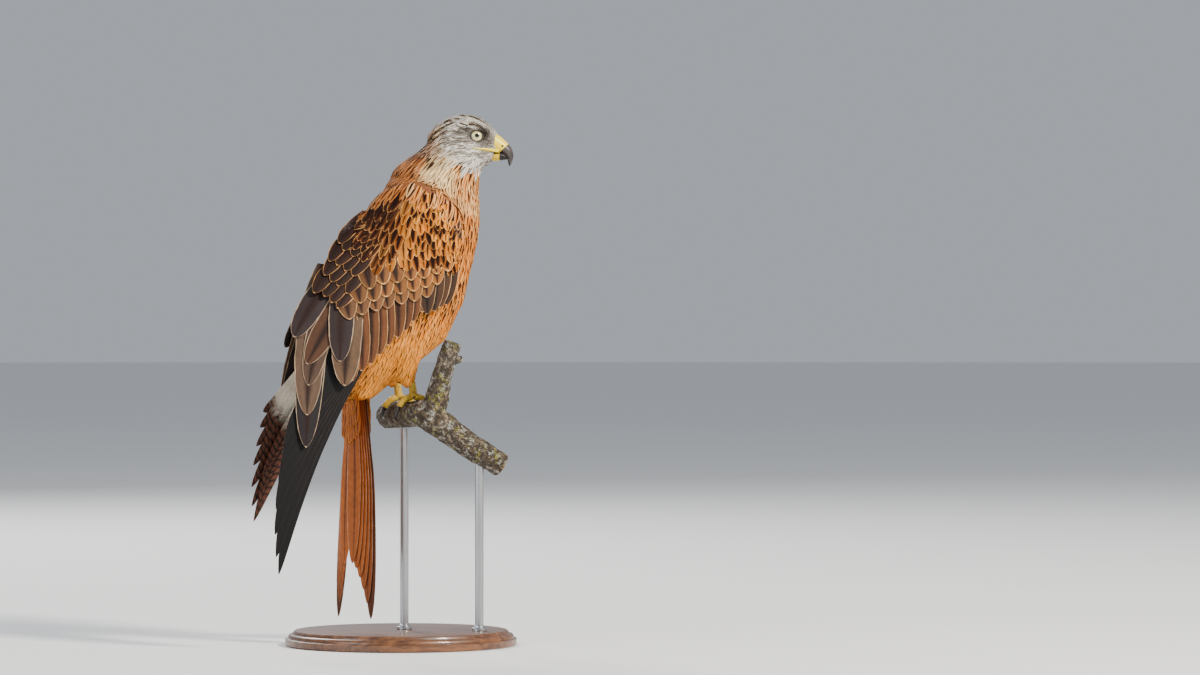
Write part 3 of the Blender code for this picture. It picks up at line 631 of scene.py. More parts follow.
SHEETS = {
    -1: WingSheet(WING_WRIST, WING_TIP, -1, 1.0),
    1: WingSheet(WING_WRIST + FAR_WRIST_SHIFT, WING_TIP, 1, FAR_SPREAD),
}


def pad_top(a, b):
    """How high the arm's flesh stands off the wing sheet."""
    return np.clip(8.6 - 0.13 * (a - 1.1 * b - 40.0), -3.0, PAD_HEIGHT)


def arm_pad(sheet):
    """The flesh of the arm, under the coverts."""
    def place(turn, share):
        swell = sqrt(max(1.0 - (2.0 * share - 1.0) ** 4, 0.0))
        front = -6.0 - 17.0 * sin(pi * min(1.2 * share, 1.0))
        back = 56.0 + 38.0 * sin(pi * min(share + 0.15, 0.6))
        a = -13.0 + 148.0 * share
        angle = 2 * pi * turn
        wide = abs(cos(angle)) ** 0.75 * (1.0 if cos(angle) >= 0.0 else -1.0)
        tall = abs(sin(angle)) ** 0.75 * (1.0 if sin(angle) >= 0.0 else -1.0)
        b = 0.5 * (front + back) + 0.5 * (back - front) * swell * wide
        top = pad_top(a, b)
        return sheet(a, b, 0.5 * (top + PAD_FLOOR) + 0.5 * (top - PAD_FLOOR) * swell * tall)

    return wrapped(place, 40, 40)


def varied(rng, value, share):
    return value * (1.0 + share * (2.0 * rng.random() - 1.0))


def row_of(plumage, sheet, rng, count, tips, lies, lengths, widths, level, rank, dress,
           tilt=0.05, power=2.4, jitter=1.0, last_dress=None, **shape):
    """A row of feathers that overlap like tiles, the inner ones on top."""
    for index in range(count):
        share = index / max(count - 1, 1)
        tip = between(tips[0], tips[1], share) + jitter * (rng.random(2) - 0.5) * (3.0, 2.0)
        lie = between(lies[0], lies[1], share) + jitter * (rng.random(2) - 0.5) * 0.06
        lie = lie / np.linalg.norm(lie)
        length = varied(rng, float(between(lengths[0], lengths[1], share)), 0.04)
        width = varied(rng, float(between(widths[0], widths[1], share)), 0.05)
        own = dress
        if last_dress is not None:
            mixed = [tuple(between(a, b, share)) for a, b in zip(dress.colours, last_dress.colours)]
            own = Dress(*mixed, *between(dress.plan, last_dress.plan, share))
        sheet_vane(
            plumage, sheet, straight_path(tip - lie * length, tip, jitter * 0.03 * (rng.random() - 0.5)),
            width, level + rank * index, own.toned(varied(rng, 1.0, 0.2)), tilt=-tilt,
            power=power, seed=rng.random(), wear=0.05, **shape
        )


SECONDARY = Dress(SECONDARY_BROWN, COVERT_DARK, SECONDARY_EDGE, 0.3, 0.7)
GREATER = Dress(linear(132, 84, 44), COVERT_DARK, SECONDARY_EDGE, 0.32, 0.8)
GREATER_BACK = Dress(linear(96, 66, 44), COVERT_DARK, SECONDARY_EDGE, 0.4, 0.9)
MEDIAN = Dress(linear(160, 96, 42), COVERT_DARK, COVERT_BUFF, 0.36, 1.0)
MEDIAN_BACK = Dress(linear(110, 72, 42), COVERT_DARK, COVERT_BUFF, 0.42, 0.9)
SCAPULAR = Dress(SCAPULAR_DARK, LESSER_DARK, SCAPULAR_EDGE, 0.4, 0.7)
PRIMARY_COVERT = Dress(linear(66, 44, 30), PRIMARY_BLACK, SECONDARY_EDGE, 0.3, 0.6)


def primaries(plumage, sheet, rng, reach, sweep, barred):
    """Ten long feathers stacked under the secondaries, the innermost on top."""
    ends = (
        (336, 54), (356, 48), (380, 41), (404, 33), (430, 22),
        (452, 10), (468, -1), (456, 3), (436, 10), (410, 18),
    )
    for index, end in enumerate(ends):
        share = index / 9
        root = (60.0 + 8.0 * share, 18.0 - 20.0 * share)
        control = (255.0 + 10.0 * share, 57.0 + 3.0 * share - 0.2 * sweep)
        tip = (end[0] * reach, end[1] + sweep)
        if barred:
            dress = Dress(PRIMARY_BROWN, PRIMARY_BLACK, WINDOW_CREAM, 0.2, 0.0, 0.85)
        else:
            dress = Dress(PRIMARY_BLACK, linear(10, 8, 10), linear(60, 48, 44), 0.3, 0.5)
        sheet_vane(
            plumage, sheet, bow_path(root, control, tip), 30.0 - 9.0 * share, 1.0 - 0.85 * index,
            dress.toned(varied(rng, 1.0, 0.08)), widest=0.4, power=2.0, skew=-0.25, camber=0.05,
            seed=rng.random(), wear=0.03
        )


# Tertials: tip, lie, length, width, level and colour, the outermost and lowest first
TERTIALS = (
    ((326, 36), TERTIAL_LIE, 208, 29, 4.4, linear(34, 28, 30)),
    ((293, 50), TERTIAL_LIE, 176, 31, 5.4, linear(88, 68, 54)),
    ((262, 62), (0.98, -0.18), 150, 26, 6.1, linear(72, 54, 44)),
    ((241, 73), ALONG_WING, 126, 25, 6.9, linear(74, 48, 32)),
    ((220, 96), ALONG_WING, 104, 25, 7.8, linear(46, 36, 36)),
    ((243, 30), TERTIAL_LIE, 132, 31, 8.0, linear(90, 68, 50)),
    ((221, 45), TERTIAL_LIE, 112, 26, 9.0, linear(44, 34, 34)),
)


def flight_feathers(side, sheet, rng, reach, sweep):
    plumage = Plumage(7, 22)
    primaries(plumage, sheet, rng, reach, sweep, side > 0)
    row_of(
        plumage, sheet, rng, 9, ((125, -9), (232, 25)), (STRAIGHT_DOWN, STRAIGHT_DOWN), (85, 126),
        (21, 22), 2.6, 0.34, SECONDARY, tilt=0.09, power=3.0, skew=-0.2
    )
    for tip, lie, length, width, level, ground in TERTIALS:
        tip, lie = np.array(tip, float), np.array(lie)
        dress = Dress(ground, LESSER_DARK, TERTIAL_EDGE, 0.34, 0.7)
        sheet_vane(
            plumage, sheet, straight_path(tip - lie * length, tip, 0.03), width, level, dress,
            camber=0.04, power=3.0, seed=rng.random(), wear=0.05, dive=7.0
        )
    return plumage


def coverts(sheet, rng):
    plumage = Plumage(7, 14)
    row_of(
        plumage, sheet, rng, 4, ((102, -32), (124, -16)), ((0.95, -0.3), STRAIGHT_DOWN), (62, 78),
        (21, 23), 2.9, 0.3, PRIMARY_COVERT, tilt=0.07, power=2.2, dive=6.0
    )
    row_of(
        plumage, sheet, rng, 7, ((107, -5), (172, 55)), (COVERT_LIE, COVERT_LIE), (60, 66),
        (24, 25), 5.2, 0.75, GREATER, tilt=0.07, power=2.3, last_dress=GREATER_BACK
    )
    row_of(
        plumage, sheet, rng, 7, ((88, -9), (151, 52)), (COVERT_LIE, COVERT_LIE), (46, 52),
        (22, 23), 7.2, 0.7, MEDIAN, tilt=0.07, power=2.1, last_dress=MEDIAN_BACK, dive=4.0
    )
    row_of(
        plumage, sheet, rng, 7, ((68, -12), (130, 50)), (COVERT_LIE, COVERT_LIE), (38, 42),
        (19, 21), 9.2, 0.65, MEDIAN, tilt=0.07, power=1.9, last_dress=MEDIAN_BACK, dive=8.0
    )
    for step in range(4):
        reach = 166.0 - 21.0 * step
        row_of(
            plumage, sheet, rng, 4, ((reach + 4, 69), (reach - 4, 95)), (ALONG_WING, ALONG_WING),
            (60, 52), (17, 17), 10.9 + 1.1 * step, 0.4, SCAPULAR, tilt=0.07, power=2.0, dive=9.0, jitter=2.0
        )
    return plumage


# Body


def raw_skin():
    """Torso, neck, head, thighs and arm pads, as closed forms in one mesh."""
    bm = bmesh.new()
    for name in ("torso", "neck", "head"):
        bm.from_mesh(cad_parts[name].data)
    bmesh.ops.remove_doubles(bm, verts=bm.verts[:], dist=1e-6)
    extras = [arm_pad(SHEETS[-1]), arm_pad(SHEETS[1]), thigh(-1), thigh(1)]
    for extra in extras:
        mesh = bpy.data.meshes.new("extra")
        extra.to_mesh(mesh)
        extra.free()
        bm.from_mesh(mesh)
        bpy.data.meshes.remove(mesh)
    return bm


def limb_centre(y):
    share = (y - LIMB_JOINT.y) / (LIMB_FAR_END.y - LIMB_JOINT.y)
    return LIMB_JOINT.lerp(LIMB_FAR_END, share)


def thigh(side):
    foot = limb_centre(side * FOOT_SIDE)
    points = [
        Vector((-42, side * 24, 104)),
        Vector((-40, side * 26, 82)),
        Vector((-39, side * 27, 58)),
        Vector((foot.x - 10, side * 26, 38)),
        Vector((foot.x - 3, side * FOOT_SIDE, 20)),
    ]
    return tube(points, (26.0, 31.0, 26.0, 15.0, 6.0), 24, 24, Vector((0, 1, 0)), flat=0.64)


def head_share(point):
    """0 on the body, 1 on the head, for places (count, 3) in millimetres."""
    along = point[:, 0] * HEAD_AHEAD.x + point[:, 1] * HEAD_AHEAD.y
    return smooth(-7.0, 9.0, 0.35 * (along - HEAD_FOOT[0]) + point[:, 2] - HEAD_FOOT[1])


def apply_modifiers(piece):
    depsgraph = bpy.context.evaluated_depsgraph_get()
    mesh = bpy.data.meshes.new_from_object(piece.evaluated_get(depsgraph))
    piece.modifiers.clear()
    piece.data = mesh


def places_of(mesh):
    """A mesh's vertices in millimetres from the perch centre."""
    places = np.empty(len(mesh.vertices) * 3)
    mesh.vertices.foreach_get("co", places)
    return places.reshape(-1, 3) / MM - np.array(PERCH_CENTRE)


def set_places(mesh, places):
    mesh.vertices.foreach_set("co", ((places + np.array(PERCH_CENTRE)) * MM).ravel())
    mesh.update()


def normals_of(mesh):
    normals = np.empty(len(mesh.vertices) * 3)
    mesh.vertex_normals.foreach_get("vector", normals)
    return normals.reshape(-1, 3)


def remeshed(piece, voxel, rounds):
    """Gives a piece one even skin, and relaxes it."""
    remesh = piece.modifiers.new("remesh", "REMESH")
    remesh.mode = "VOXEL"
    remesh.voxel_size = voxel * MM
    relax = piece.modifiers.new("relax", "SMOOTH")
    relax.factor = 0.5
    relax.iterations = rounds
    apply_modifiers(piece)


def brow_swell(places):
    """How far the brow stands out over the eye, in millimetres."""
    along = places[:, 0] * HEAD_AHEAD.x + places[:, 1] * HEAD_AHEAD.y
    side = places[:, 0] * HEAD_LEFT.x + places[:, 1] * HEAD_LEFT.y - HEAD_MIDPLANE
    share = np.clip((along - 52.0) / 22.0, 0.0, 1.0)
    gap = np.hypot(along - (52.0 + 22.0 * share), places[:, 2] - (324.2 - 4.6 * share))
    return 2.6 * np.exp(-(gap / 3.4) ** 2) * smooth(8.0, 13.0, np.abs(side))


def fold_depth(places):
    """How deep a fold is filled: most at the shoulders and hardly on the face."""
    height = places[:, 2]
    return 9.0 + 8.0 * smooth(150.0, 200.0, height) - 15.5 * smooth(262.0, 312.0, height)


def make_skin(material):
    """One skin over body, head, thighs and arms, sunk by the depth of the coat.

    Swelling it, meshing it again and shrinking it fills the folds between its parts.
    """
    skin = piece_from(raw_skin(), "skin", material)
    remeshed(skin, 1.8, 2)
    places = places_of(skin.data)
    set_places(skin.data, places + normals_of(skin.data) * fold_depth(places)[:, None])
    remeshed(skin, 1.8, 5)
    places, normals = places_of(skin.data), normals_of(skin.data)
    head = head_share(places)
    depth = BODY_COAT + (FACE_COAT - BODY_COAT) * head + fold_depth(places) - brow_swell(places)
    set_places(skin.data, places - normals * depth[:, None])
    skin.data.shade_smooth()
    return skin


# Spots on the head and neck, as along, height and radius, for their own colours; the spot before the eye
# under the brow is painted shade
FOREHEAD = (86.0, 322.0, 13.0)
LORES = (73.0, 309.0, 9.0)
# Painted shade under the brow ridge, before and above the eye
BROW_PAINTED_SHADE = (69.5, 315.5, 7.5)
EYE_STRIPE = (51.0, 316.0, 4.5)
CHEEK = (66.0, 291.0, 14.0)
CREAM_PATCH = (24.0, 280.0, 17.0)
GAPE_CORNER = (88.0, 303.0)


def spot(plan, place, soft=0.5):
    """1 in the middle of a spot on the head's side and 0 outside it."""
    gap = np.hypot(plan["along"] - place[0], plan["height"] - place[1]) / place[2]
    return 1.0 - smooth(1.0 - soft, 1.0 + soft, gap)


def plumage_plan(point, normal):
    """What grows at each place: where it is on the bird, and its size and spacing."""
    along = point[:, 0] * HEAD_AHEAD.x + point[:, 1] * HEAD_AHEAD.y
    side = point[:, 0] * HEAD_LEFT.x + point[:, 1] * HEAD_LEFT.y - HEAD_MIDPLANE
    height = point[:, 2]
    head = head_share(point)
    plan = {"along": along, "height": height, "head": head, "side": side}
    plan["turn"] = np.arctan2(side, height - 298.0)
    plan["back"] = smooth(0.0, -0.4, normal[:, 0])
    plan["neck"] = (1.0 - head) * smooth(218.0, 256.0, height)
    plan["low"] = smooth(135.0, 70.0, height)
    plan["face"] = head * smooth(50.0, 78.0, along)
    plan["nape"] = smooth(36.0, 12.0, along) * smooth(262.0, 286.0, height)
    plan["crown"] = head * smooth(312.0, 328.0, height)
    right, left = (SHEETS[side_of].find_all(point) for side_of in (-1, 1))
    wing = [np.where(point[:, 1] < 0.0, one, other) for one, other in zip(right, left)]
    plan["a"], plan["b"] = wing[0], wing[1]
    top = pad_top(wing[0], wing[1])
    inside = (wing[0] > -18.0) & (wing[0] < 150.0) & (wing[1] > -36.0) & (wing[1] < 104.0)
    inside &= (wing[1] > -16.0) | (wing[0] < 60.0)
    plan["arm"] = inside & (wing[2] > top - 7.5) & (height < 258.0) & (head < 0.3)
    plan["mantle"] = smooth(38.0, 62.0, wing[1]) * plan["arm"]
    grown = smooth(-10.0, 75.0, wing[0])
    neck, low = plan["neck"], plan["low"]
    torso = 1.0 - neck
    length = 29.0 * torso * (1.0 - 0.2 * low) + 25.0 * neck
    width = 9.5 * torso * (1.0 - 0.15 * low) + 7.0 * neck
    gap = 5.4 * torso * (1.0 - 0.12 * low) + 4.2 * neck
    nape = plan["nape"]
    eye = np.hypot(along - EYE_ALONG, height - EYE_HEIGHT)
    length = length * (1.0 - head) + head * (11.5 - 7.0 * plan["face"] + 6.5 * nape)
    width = width * (1.0 - head) + head * (2.9 - 1.4 * plan["face"] + 1.6 * nape)
    gap = gap * (1.0 - head) + head * (2.0 - 0.85 * plan["face"] + 1.0 * nape)
    arm_length = (15.0 + 13.0 * grown) * (1.0 - plan["mantle"]) + 34.0 * plan["mantle"]
    arm_width = (8.0 + 6.5 * grown) * (1.0 - plan["mantle"]) + 11.5 * plan["mantle"]
    arm_gap = (4.4 + 3.0 * grown) * (1.0 - plan["mantle"]) + 6.2 * plan["mantle"]
    plan["length"] = np.where(plan["arm"], arm_length, length)
    plan["width"] = np.where(plan["arm"], arm_width, width)
    gap = gap * (0.72 + 0.28 * smooth(9.0, 18.0, eye))
    plan["gap"] = np.where(plan["arm"], arm_gap, gap)
    for name, place in (
        ("forehead", FOREHEAD), ("lores", LORES), ("eye_shade", BROW_PAINTED_SHADE),
        ("eye_stripe", EYE_STRIPE), ("cheek", CHEEK), ("cream", CREAM_PATCH),
    ):
        plan[name] = spot(plan, place)
    return plan


def head_dress(at, rng):
    """Pale lanceolate feathers in lines that run back from the bill, dark between."""
    lines = noise.noise(Vector((at["turn"] * 11.0, at["along"] * 0.035, 3.7)))
    lines += 0.45 * noise.noise(Vector((at["turn"] * 23.0, at["along"] * 0.09, 8.1)))
    dark = float(smooth(-0.05, 0.16, lines + 0.2 * (rng.random() - 0.5)))
    contrast = 0.6 + 0.4 * at["crown"] + 0.3 * at["nape"]
    ground = between(WHITE_GREY, PALE_GREY, 0.8 * rng.random() * (1.0 - at["cheek"]))
    ground = between(ground, NAPE_RUFOUS, 0.8 * at["nape"])
    ground = between(ground, STREAK_BROWN, dark * min(contrast, 1.0) * (1.0 - 0.7 * at["forehead"]))
    ground = between(ground, linear(84, 76, 66), 0.75 * at["lores"] * (1.0 - at["forehead"]))
    # Darkens feathers before the eye as painted shade under the brow, and behind the eye as a dark stripe
    shade = max(at["eye_shade"], 0.6 * at["eye_stripe"])
    ground = between(ground, linear(40, 31, 24), 0.95 * shade)
    ground = between(ground, CREAM, 0.75 * at["cream"])
    streak = between(STREAK_BROWN, NAPE_DARK, at["nape"])
    width = (0.24 + 0.2 * at["nape"]) * (1.0 - 0.8 * at["forehead"]) * (0.5 + rng.random())
    return Dress(ground, streak, CREAM, width, 0.35 * at["nape"])


def neck_dress(at, rng):
    """Rufous neck, breast and belly: dark shaft streaks, cream at the neck's side."""
    pick = rng.random()
    front = 1.0 - at["back"]
    ground = between(BREAST_ORANGE, BELLY_ORANGE, at["low"])
    ground = between(ground, linear(226, 150, 70), 0.7 * pick)
    ground = between(ground, CREAM, (0.08 + 0.42 * pick) * at["neck"] * front)
    ground = between(ground, NAPE_RUFOUS, at["back"] * (1.0 - 0.5 * at["low"]))
    ground = between(ground, CREAM, 0.85 * at["cream"])
    ground = between(ground, SCAPULAR_DARK, 0.75 * at["back"] * (1.0 - at["neck"]) * (1.0 - at["low"]))
    streak = between(BREAST_DARK, NAPE_DARK, at["back"])
    width = (0.42 - 0.3 * at["low"] + 0.06 * at["back"]) * (0.35 + 1.1 * rng.random())
    width *= 1.0 - 0.6 * at["cream"]
    fringe = between(ground, CREAM, 0.55)
    return Dress(ground, streak, fringe, width, 0.5 * (1.0 - at["low"]))


def arm_dress(at, rng):
    """Lesser coverts: orange with dark centres in front, dark brown on the mantle."""
    pick = rng.random()
    down = float(smooth(10.0, 75.0, at["a"]))
    if pick < 0.5:
        ground, width = between(LESSER_ORANGE, linear(232, 150, 60), rng.random()), 0.2
    elif pick < 0.85:
        ground, width = between(LESSER_ORANGE, COVERT_BROWN, 0.7), 0.5
    else:
        ground, width = between(LESSER_DARK, COVERT_BROWN, 0.4), 0.6
    ground = between(ground, COVERT_BROWN, 0.55 * down)
    if -14.0 < at["a"] < 16.0 and abs(at["b"] - 1.0) < 9.0 and pick < 0.8:
        ground, width = linear(86, 60, 50), 0.15
    ground = between(ground, between(SCAPULAR_DARK, COVERT_BROWN, 0.5 * pick * pick), at["mantle"])
    fringe = between(linear(232, 160, 80), COVERT_BUFF, down)
    fringe = between(fringe, SCAPULAR_EDGE, at["mantle"])
    return Dress(ground, LESSER_DARK, fringe, width, 0.75)


def body_dress(at, rng):
    """The colours of one small feather, from where it grows."""
    if at["arm"]:
        dress = arm_dress(at, rng)
    elif at["head"] > rng.random():
        dress = head_dress(at, rng)
    else:
        dress = neck_dress(at, rng)
    return dress.toned(varied(rng, 1.0, 0.16))


def lie_of(point, at):
    """The way a small feather points at a place, before it is laid on the skin."""
    if at["arm"]:
        sheet = SHEETS[-1 if point[1] < 0.0 else 1]
        fan = float(smooth(40.0, -10.0, at["a"]))
        front = between(COVERT_LIE, (0.94, -0.34), fan)
        return sheet.heading(between(front, ALONG_WING, at["mantle"]))
    down = Vector((-0.30, 0.0, -0.95)).lerp(Vector((-0.62, 0.0, -0.78)), at["back"])
    reach, rise = at["along"] - GAPE_CORNER[0], at["height"] - GAPE_CORNER[1]
    away = sqrt(reach * reach + rise * rise) + 1e-6
    swept = HEAD_AHEAD * (reach / away) + Vector((0, 0, rise / away))
    swept += HEAD_LEFT * (0.3 * at["side"] / 25.0) - Vector((0, 0, 0.95 * float(smooth(36.0, 84.0, away))))
    return down.lerp(swept.normalized(), float(smooth(0.0, 1.0, at["head"])))


def scatter_seats(skin, spacing_of, rng, tries):
    """Places on the skin, no two closer than the spacing there, with their normals."""
    mesh = skin.data
    mesh.calc_loop_triangles()
    corners = np.empty(len(mesh.loop_triangles) * 3, int)
    mesh.loop_triangles.foreach_get("vertices", corners)
    corners = corners.reshape(-1, 3)
    places = places_of(mesh)
    normals = normals_of(mesh)
    a, b, c = (places[corners[:, index]] for index in range(3))
    area = np.linalg.norm(np.cross(b - a, c - a), axis=1)
    chosen = rng.choice(len(corners), size=tries, p=area / area.sum())
    first = np.sqrt(rng.random((tries, 1)))
    second = rng.random((tries, 1))
    weights = np.hstack((1 - first, first * (1 - second), first * second))
    seats = sum(places[corners[chosen, index]] * weights[:, index:index + 1] for index in range(3))
    facing = sum(normals[corners[chosen, index]] * weights[:, index:index + 1] for index in range(3))
    facing /= np.linalg.norm(facing, axis=1)[:, None]
    spacing = spacing_of(seats, facing)
    cell = 10.0
    grid = {}
    kept = []
    for index in range(tries):
        seat = seats[index]
        gap = spacing[index]
        if gap <= 0.0:
            continue
        key = tuple((seat // cell).astype(int))
        near = [
            other for dx in (-1, 0, 1) for dy in (-1, 0, 1) for dz in (-1, 0, 1)
            for other in grid.get((key[0] + dx, key[1] + dy, key[2] + dz), ())
        ]
        if any(abs(seat[0] - o[0]) < gap and (seat[0] - o[0]) ** 2 + (seat[1] - o[1]) ** 2
               + (seat[2] - o[2]) ** 2 < gap * gap for o in near):
            continue
        grid.setdefault(key, []).append(tuple(seat))
        kept.append(index)
    return seats[kept], facing[kept]


def lay_feather(
    plumage, surface, covers, seat, facing, way, length, width, lift, dress, rng, centre, hang=0.0
):
    """Lays one small vane along the skin, its root sunk and its tip lifted.

    Where the wing's own feathers stand above the skin, it lies over their roots.
    """
    normal = Vector(facing)
    way = Matrix.Rotation(radians(9.0) * (rng.random() - 0.5), 3, normal) @ way
    along, across = plumage.along, plumage.across
    upper = np.empty((along, across, 3))
    lower = np.empty((along, across, 3))
    tilt = 0.14 * (rng.random() - 0.5)
    rows = vane_steps(along)
    widths = 0.5 * width * outline(rows, 0.5, 0.45, 1.8)
    sunk = min(0.35 * lift, 0.9)
    here, before = Vector(seat), 0.0
    for row, v in enumerate(rows):
        ahead = (way - normal * way.dot(normal)).normalized()
        spot, skin_normal, _, _ = surface.find_nearest(here + ahead * (v - before) * length)
        normal = normal.lerp(skin_normal, 0.6).normalized()
        here, before = spot.lerp(here + ahead * (v - before) * length, hang * v), v
        side = normal.cross(ahead)
        for column, u in enumerate(np.linspace(-1.0, 1.0, across)):
            base = here + side * (u * widths[row])
            base = base.lerp(surface.find_nearest(base)[0], 1.0 - hang * v)
            for cover in covers:
                hit = cover.ray_cast(base + normal * 8.0, -normal, 8.0)[0]
                if hit is not None:
                    base = hit - normal * max(lift - 1.2, 0.0)
            height = -sunk + (lift + sunk) * v ** 0.75 + widths[row] * (0.16 * (1 - u * u) + tilt * u)
            upper[row, column] = base + normal * height
            lower[row, column] = base + normal * (height - 0.18)
    turn = atan2(seat[1] - centre[1], seat[0] - centre[0]) / (2.0 * pi) + 0.5
    rise = (seat[2] - centre[2]) / centre[3]
    patch = (0.01 + 0.975 * turn, 0.01 + 0.975 * min(max(rise, 0.0), 1.0), 0.003, 0.003)
    plumage.add(upper, lower, dress, (0.5 * width, length, rng.random()), patch)


# Parts of the body that have a coat of their own: name, axis x and y, foot, height
COATS = {
    "head_plumage": (48.0, -10.0, 262.0, 84.0),
    "neck_plumage": (10.0, -2.0, 200.0, 110.0),
    "breast_plumage": (-20.0, 0.0, 120.0, 150.0),
    "belly_plumage": (-40.0, 0.0, -4.0, 134.0),
    "thigh_plumage": (-38.0, 0.0, 8.0, 110.0),
    "shoulder_plumage": (-20.0, 0.0, 80.0, 190.0),
}


def coat_of(point, at):
    if at["arm"]:
        return "shoulder_plumage"
    if at["head"] > 0.5:
        return "head_plumage"
    if at["height"] < 66.0 and abs(point[1]) > 12.0 and point[0] > -75.0:
        return "thigh_plumage"
    if at["neck"] > 0.5:
        return "neck_plumage"
    return "breast_plumage" if at["height"] > 125.0 else "belly_plumage"


def gape_line(along):
    """Height and half thickness of the yellow gape, from its back to the cere."""
    share = min(max((along - GAPE_START) / 28.5, 0.0), 1.0)
    return 299.9 - 2.5 * share, 0.1 + 2.2 * sin(0.5 * pi * share)


def bare_face(point):
    """Where the eye, the cere and the gape leave no room for feathers."""
    along = point.dot(HEAD_AHEAD)
    side = point.dot(HEAD_LEFT) - HEAD_MIDPLANE
    eye = sqrt((along - EYE_ALONG) ** 2 + (point.z - EYE_HEIGHT) ** 2)
    if eye < LID_RADIUS + 0.6 and abs(side) > 8.0:
        return True
    middle, thick = gape_line(along)
    if along > 58.0 and abs(point.z - middle) < thick + 0.2:
        return True
    return along > 85.5 - 0.2 * (316.0 - point.z)


def surface_of(piece):
    """A piece's faces, in millimetres, to find places on."""
    places = [Vector(place) for place in places_of(piece.data)]
    return BVHTree.FromPolygons(places, [tuple(face.vertices) for face in piece.data.polygons])


def make_coat(skin, surface, wings, material):
    """All the small feathers, set out over the skin where nothing covers them."""
    rng = np.random.default_rng(7)
    covers = [surface_of(wing) for wing in wings]

    def spacing(seats, facing):
        return plumage_plan(seats, facing)["gap"]

    seats, facing = scatter_seats(skin, spacing, rng, 90000)
    plan = plumage_plan(seats, facing)
    coats = {name: Plumage(3, 7) if name == "head_plumage" else Plumage(5, 9) for name in COATS}
    for index in range(len(seats)):
        seat, normal = Vector(seats[index]), Vector(facing[index])
        at = {name: float(values[index]) for name, values in plan.items()}
        if at["head"] > 0.3 and bare_face(seat):
            continue
        probe = seat + normal * 1.0
        hits = [cover.ray_cast(probe, normal, 8.0) for cover in covers]
        bare = 2.4 if at["arm"] and at["a"] < 44.0 + 0.6 * max(min(at["b"], 50.0), 0.0) else 0.0
        if any(hit[0] is not None and hit[3] >= bare for hit in hits):
            continue
        name = coat_of(seat, at)
        lift = (BODY_COAT + (FACE_COAT - BODY_COAT) * at["head"]) * (0.8 + 0.25 * rng.random())
        length, width, hang = at["length"], at["width"], 0.0
        if name == "thigh_plumage":
            hang = 0.45
        lay_feather(
            coats[name], surface, covers if at["b"] > -45.0 and at["head"] < 0.1 else (), seat, normal,
            lie_of(seat, at), varied(rng, length, 0.1),
            varied(rng, width, 0.1), lift, body_dress(at, rng), rng, COATS[name], hang
        )
    for name, plumage in coats.items():
        carry(plumage.make(name, material), "rufous_plumage")


# Tail


def tail_sheet(a, b, height):
    """a runs down from the tail's root, b to the bird's left, height to the back."""
    twist = TAIL_TWIST * min(max((a + 20.0) / 120.0, 0.0), 1.0)
    bowed = height - TAIL_BOW * b * b
    x = TAIL_ROOT.x - TAIL_LEAN * a - bowed * cos(twist) - b * sin(twist)
    y = TAIL_ROOT.y + b * cos(twist) - bowed * sin(twist)
    return Vector((x, y, TAIL_ROOT.z - a))


def make_tail(material):
    rng = np.random.default_rng(11)
    plumage = Plumage(7, 22)
    length = TAIL_ROOT.z - TAIL_FORK_HEIGHT
    longest = TAIL_ROOT.z - TAIL_TIP_HEIGHT
    for pair in range(6):
        share = pair / 5
        reach = length + (longest - length) * share ** 1.5
        for side in (-1, 1):
            root = (-14.0, side * (3.0 + 8.0 * share))
            end = (reach, side * (8.0 + (TAIL_HALF_WIDTH - 8.0) * share))
            level = 3.0 - 1.9 * pair - (0.95 if side > 0 else 0.0)
            ground = between(TAIL_RUFOUS, TAIL_DARK, 0.8 * share ** 3)
            dress = Dress(ground, TAIL_DARK, between(TAIL_RUFOUS, TAIL_PALE, 0.5), 0.08, 0.5, 0.12)
            sheet_vane(
                plumage, tail_sheet, straight_path(root, end, 0.01 * side), 26.0 - 3.0 * share, level,
                dress.toned(varied(rng, 1.0, 0.06)), widest=0.45, power=3.2, skew=0.2 * side,
                camber=0.03, thickness=0.3, seed=rng.random(), wear=0.03
            )
    plumage.spread_patches()
    carry(plumage.make("tail_feathers", material), "rufous_tail", "tail")
    small = Plumage(5, 9)
    for row in range(4):
        for index in range(7):
            b = (-18.0 + 6.0 * index) * (1.0 - 0.08 * row) + 2.0 * (rng.random() - 0.5)
            reach = 56.0 - 15.0 * row - 0.03 * b * b + 5.0 * (rng.random() - 0.5)
            root = reach - 34.0
            upper = Dress(TAIL_RUFOUS, NAPE_DARK, BELLY_ORANGE, 0.2, 0.8).toned(varied(rng, 1.0, 0.15))
            under = Dress(BELLY_ORANGE, BREAST_DARK, CREAM, 0.1, 0.8, 0.5).toned(varied(rng, 1.0, 0.15))
            sheet_vane(
                small, tail_sheet, straight_path((root, b * 0.8), (reach, b)), 12.0, 3.0 + 0.8 * row,
                upper, rise=2.0, tilt=0.05, power=2.0, seed=rng.random()
            )
            sheet_vane(
                small, tail_sheet, straight_path((root, b * 0.8), (reach, b)), 12.0, -8.4 - 0.7 * row,
                under, rise=-2.5, tilt=0.05, camber=-0.05, power=2.0, seed=rng.random()
            )
    small.spread_patches()
    carry(small.make("tail_coverts", material), "rufous_tail")


# Bare parts


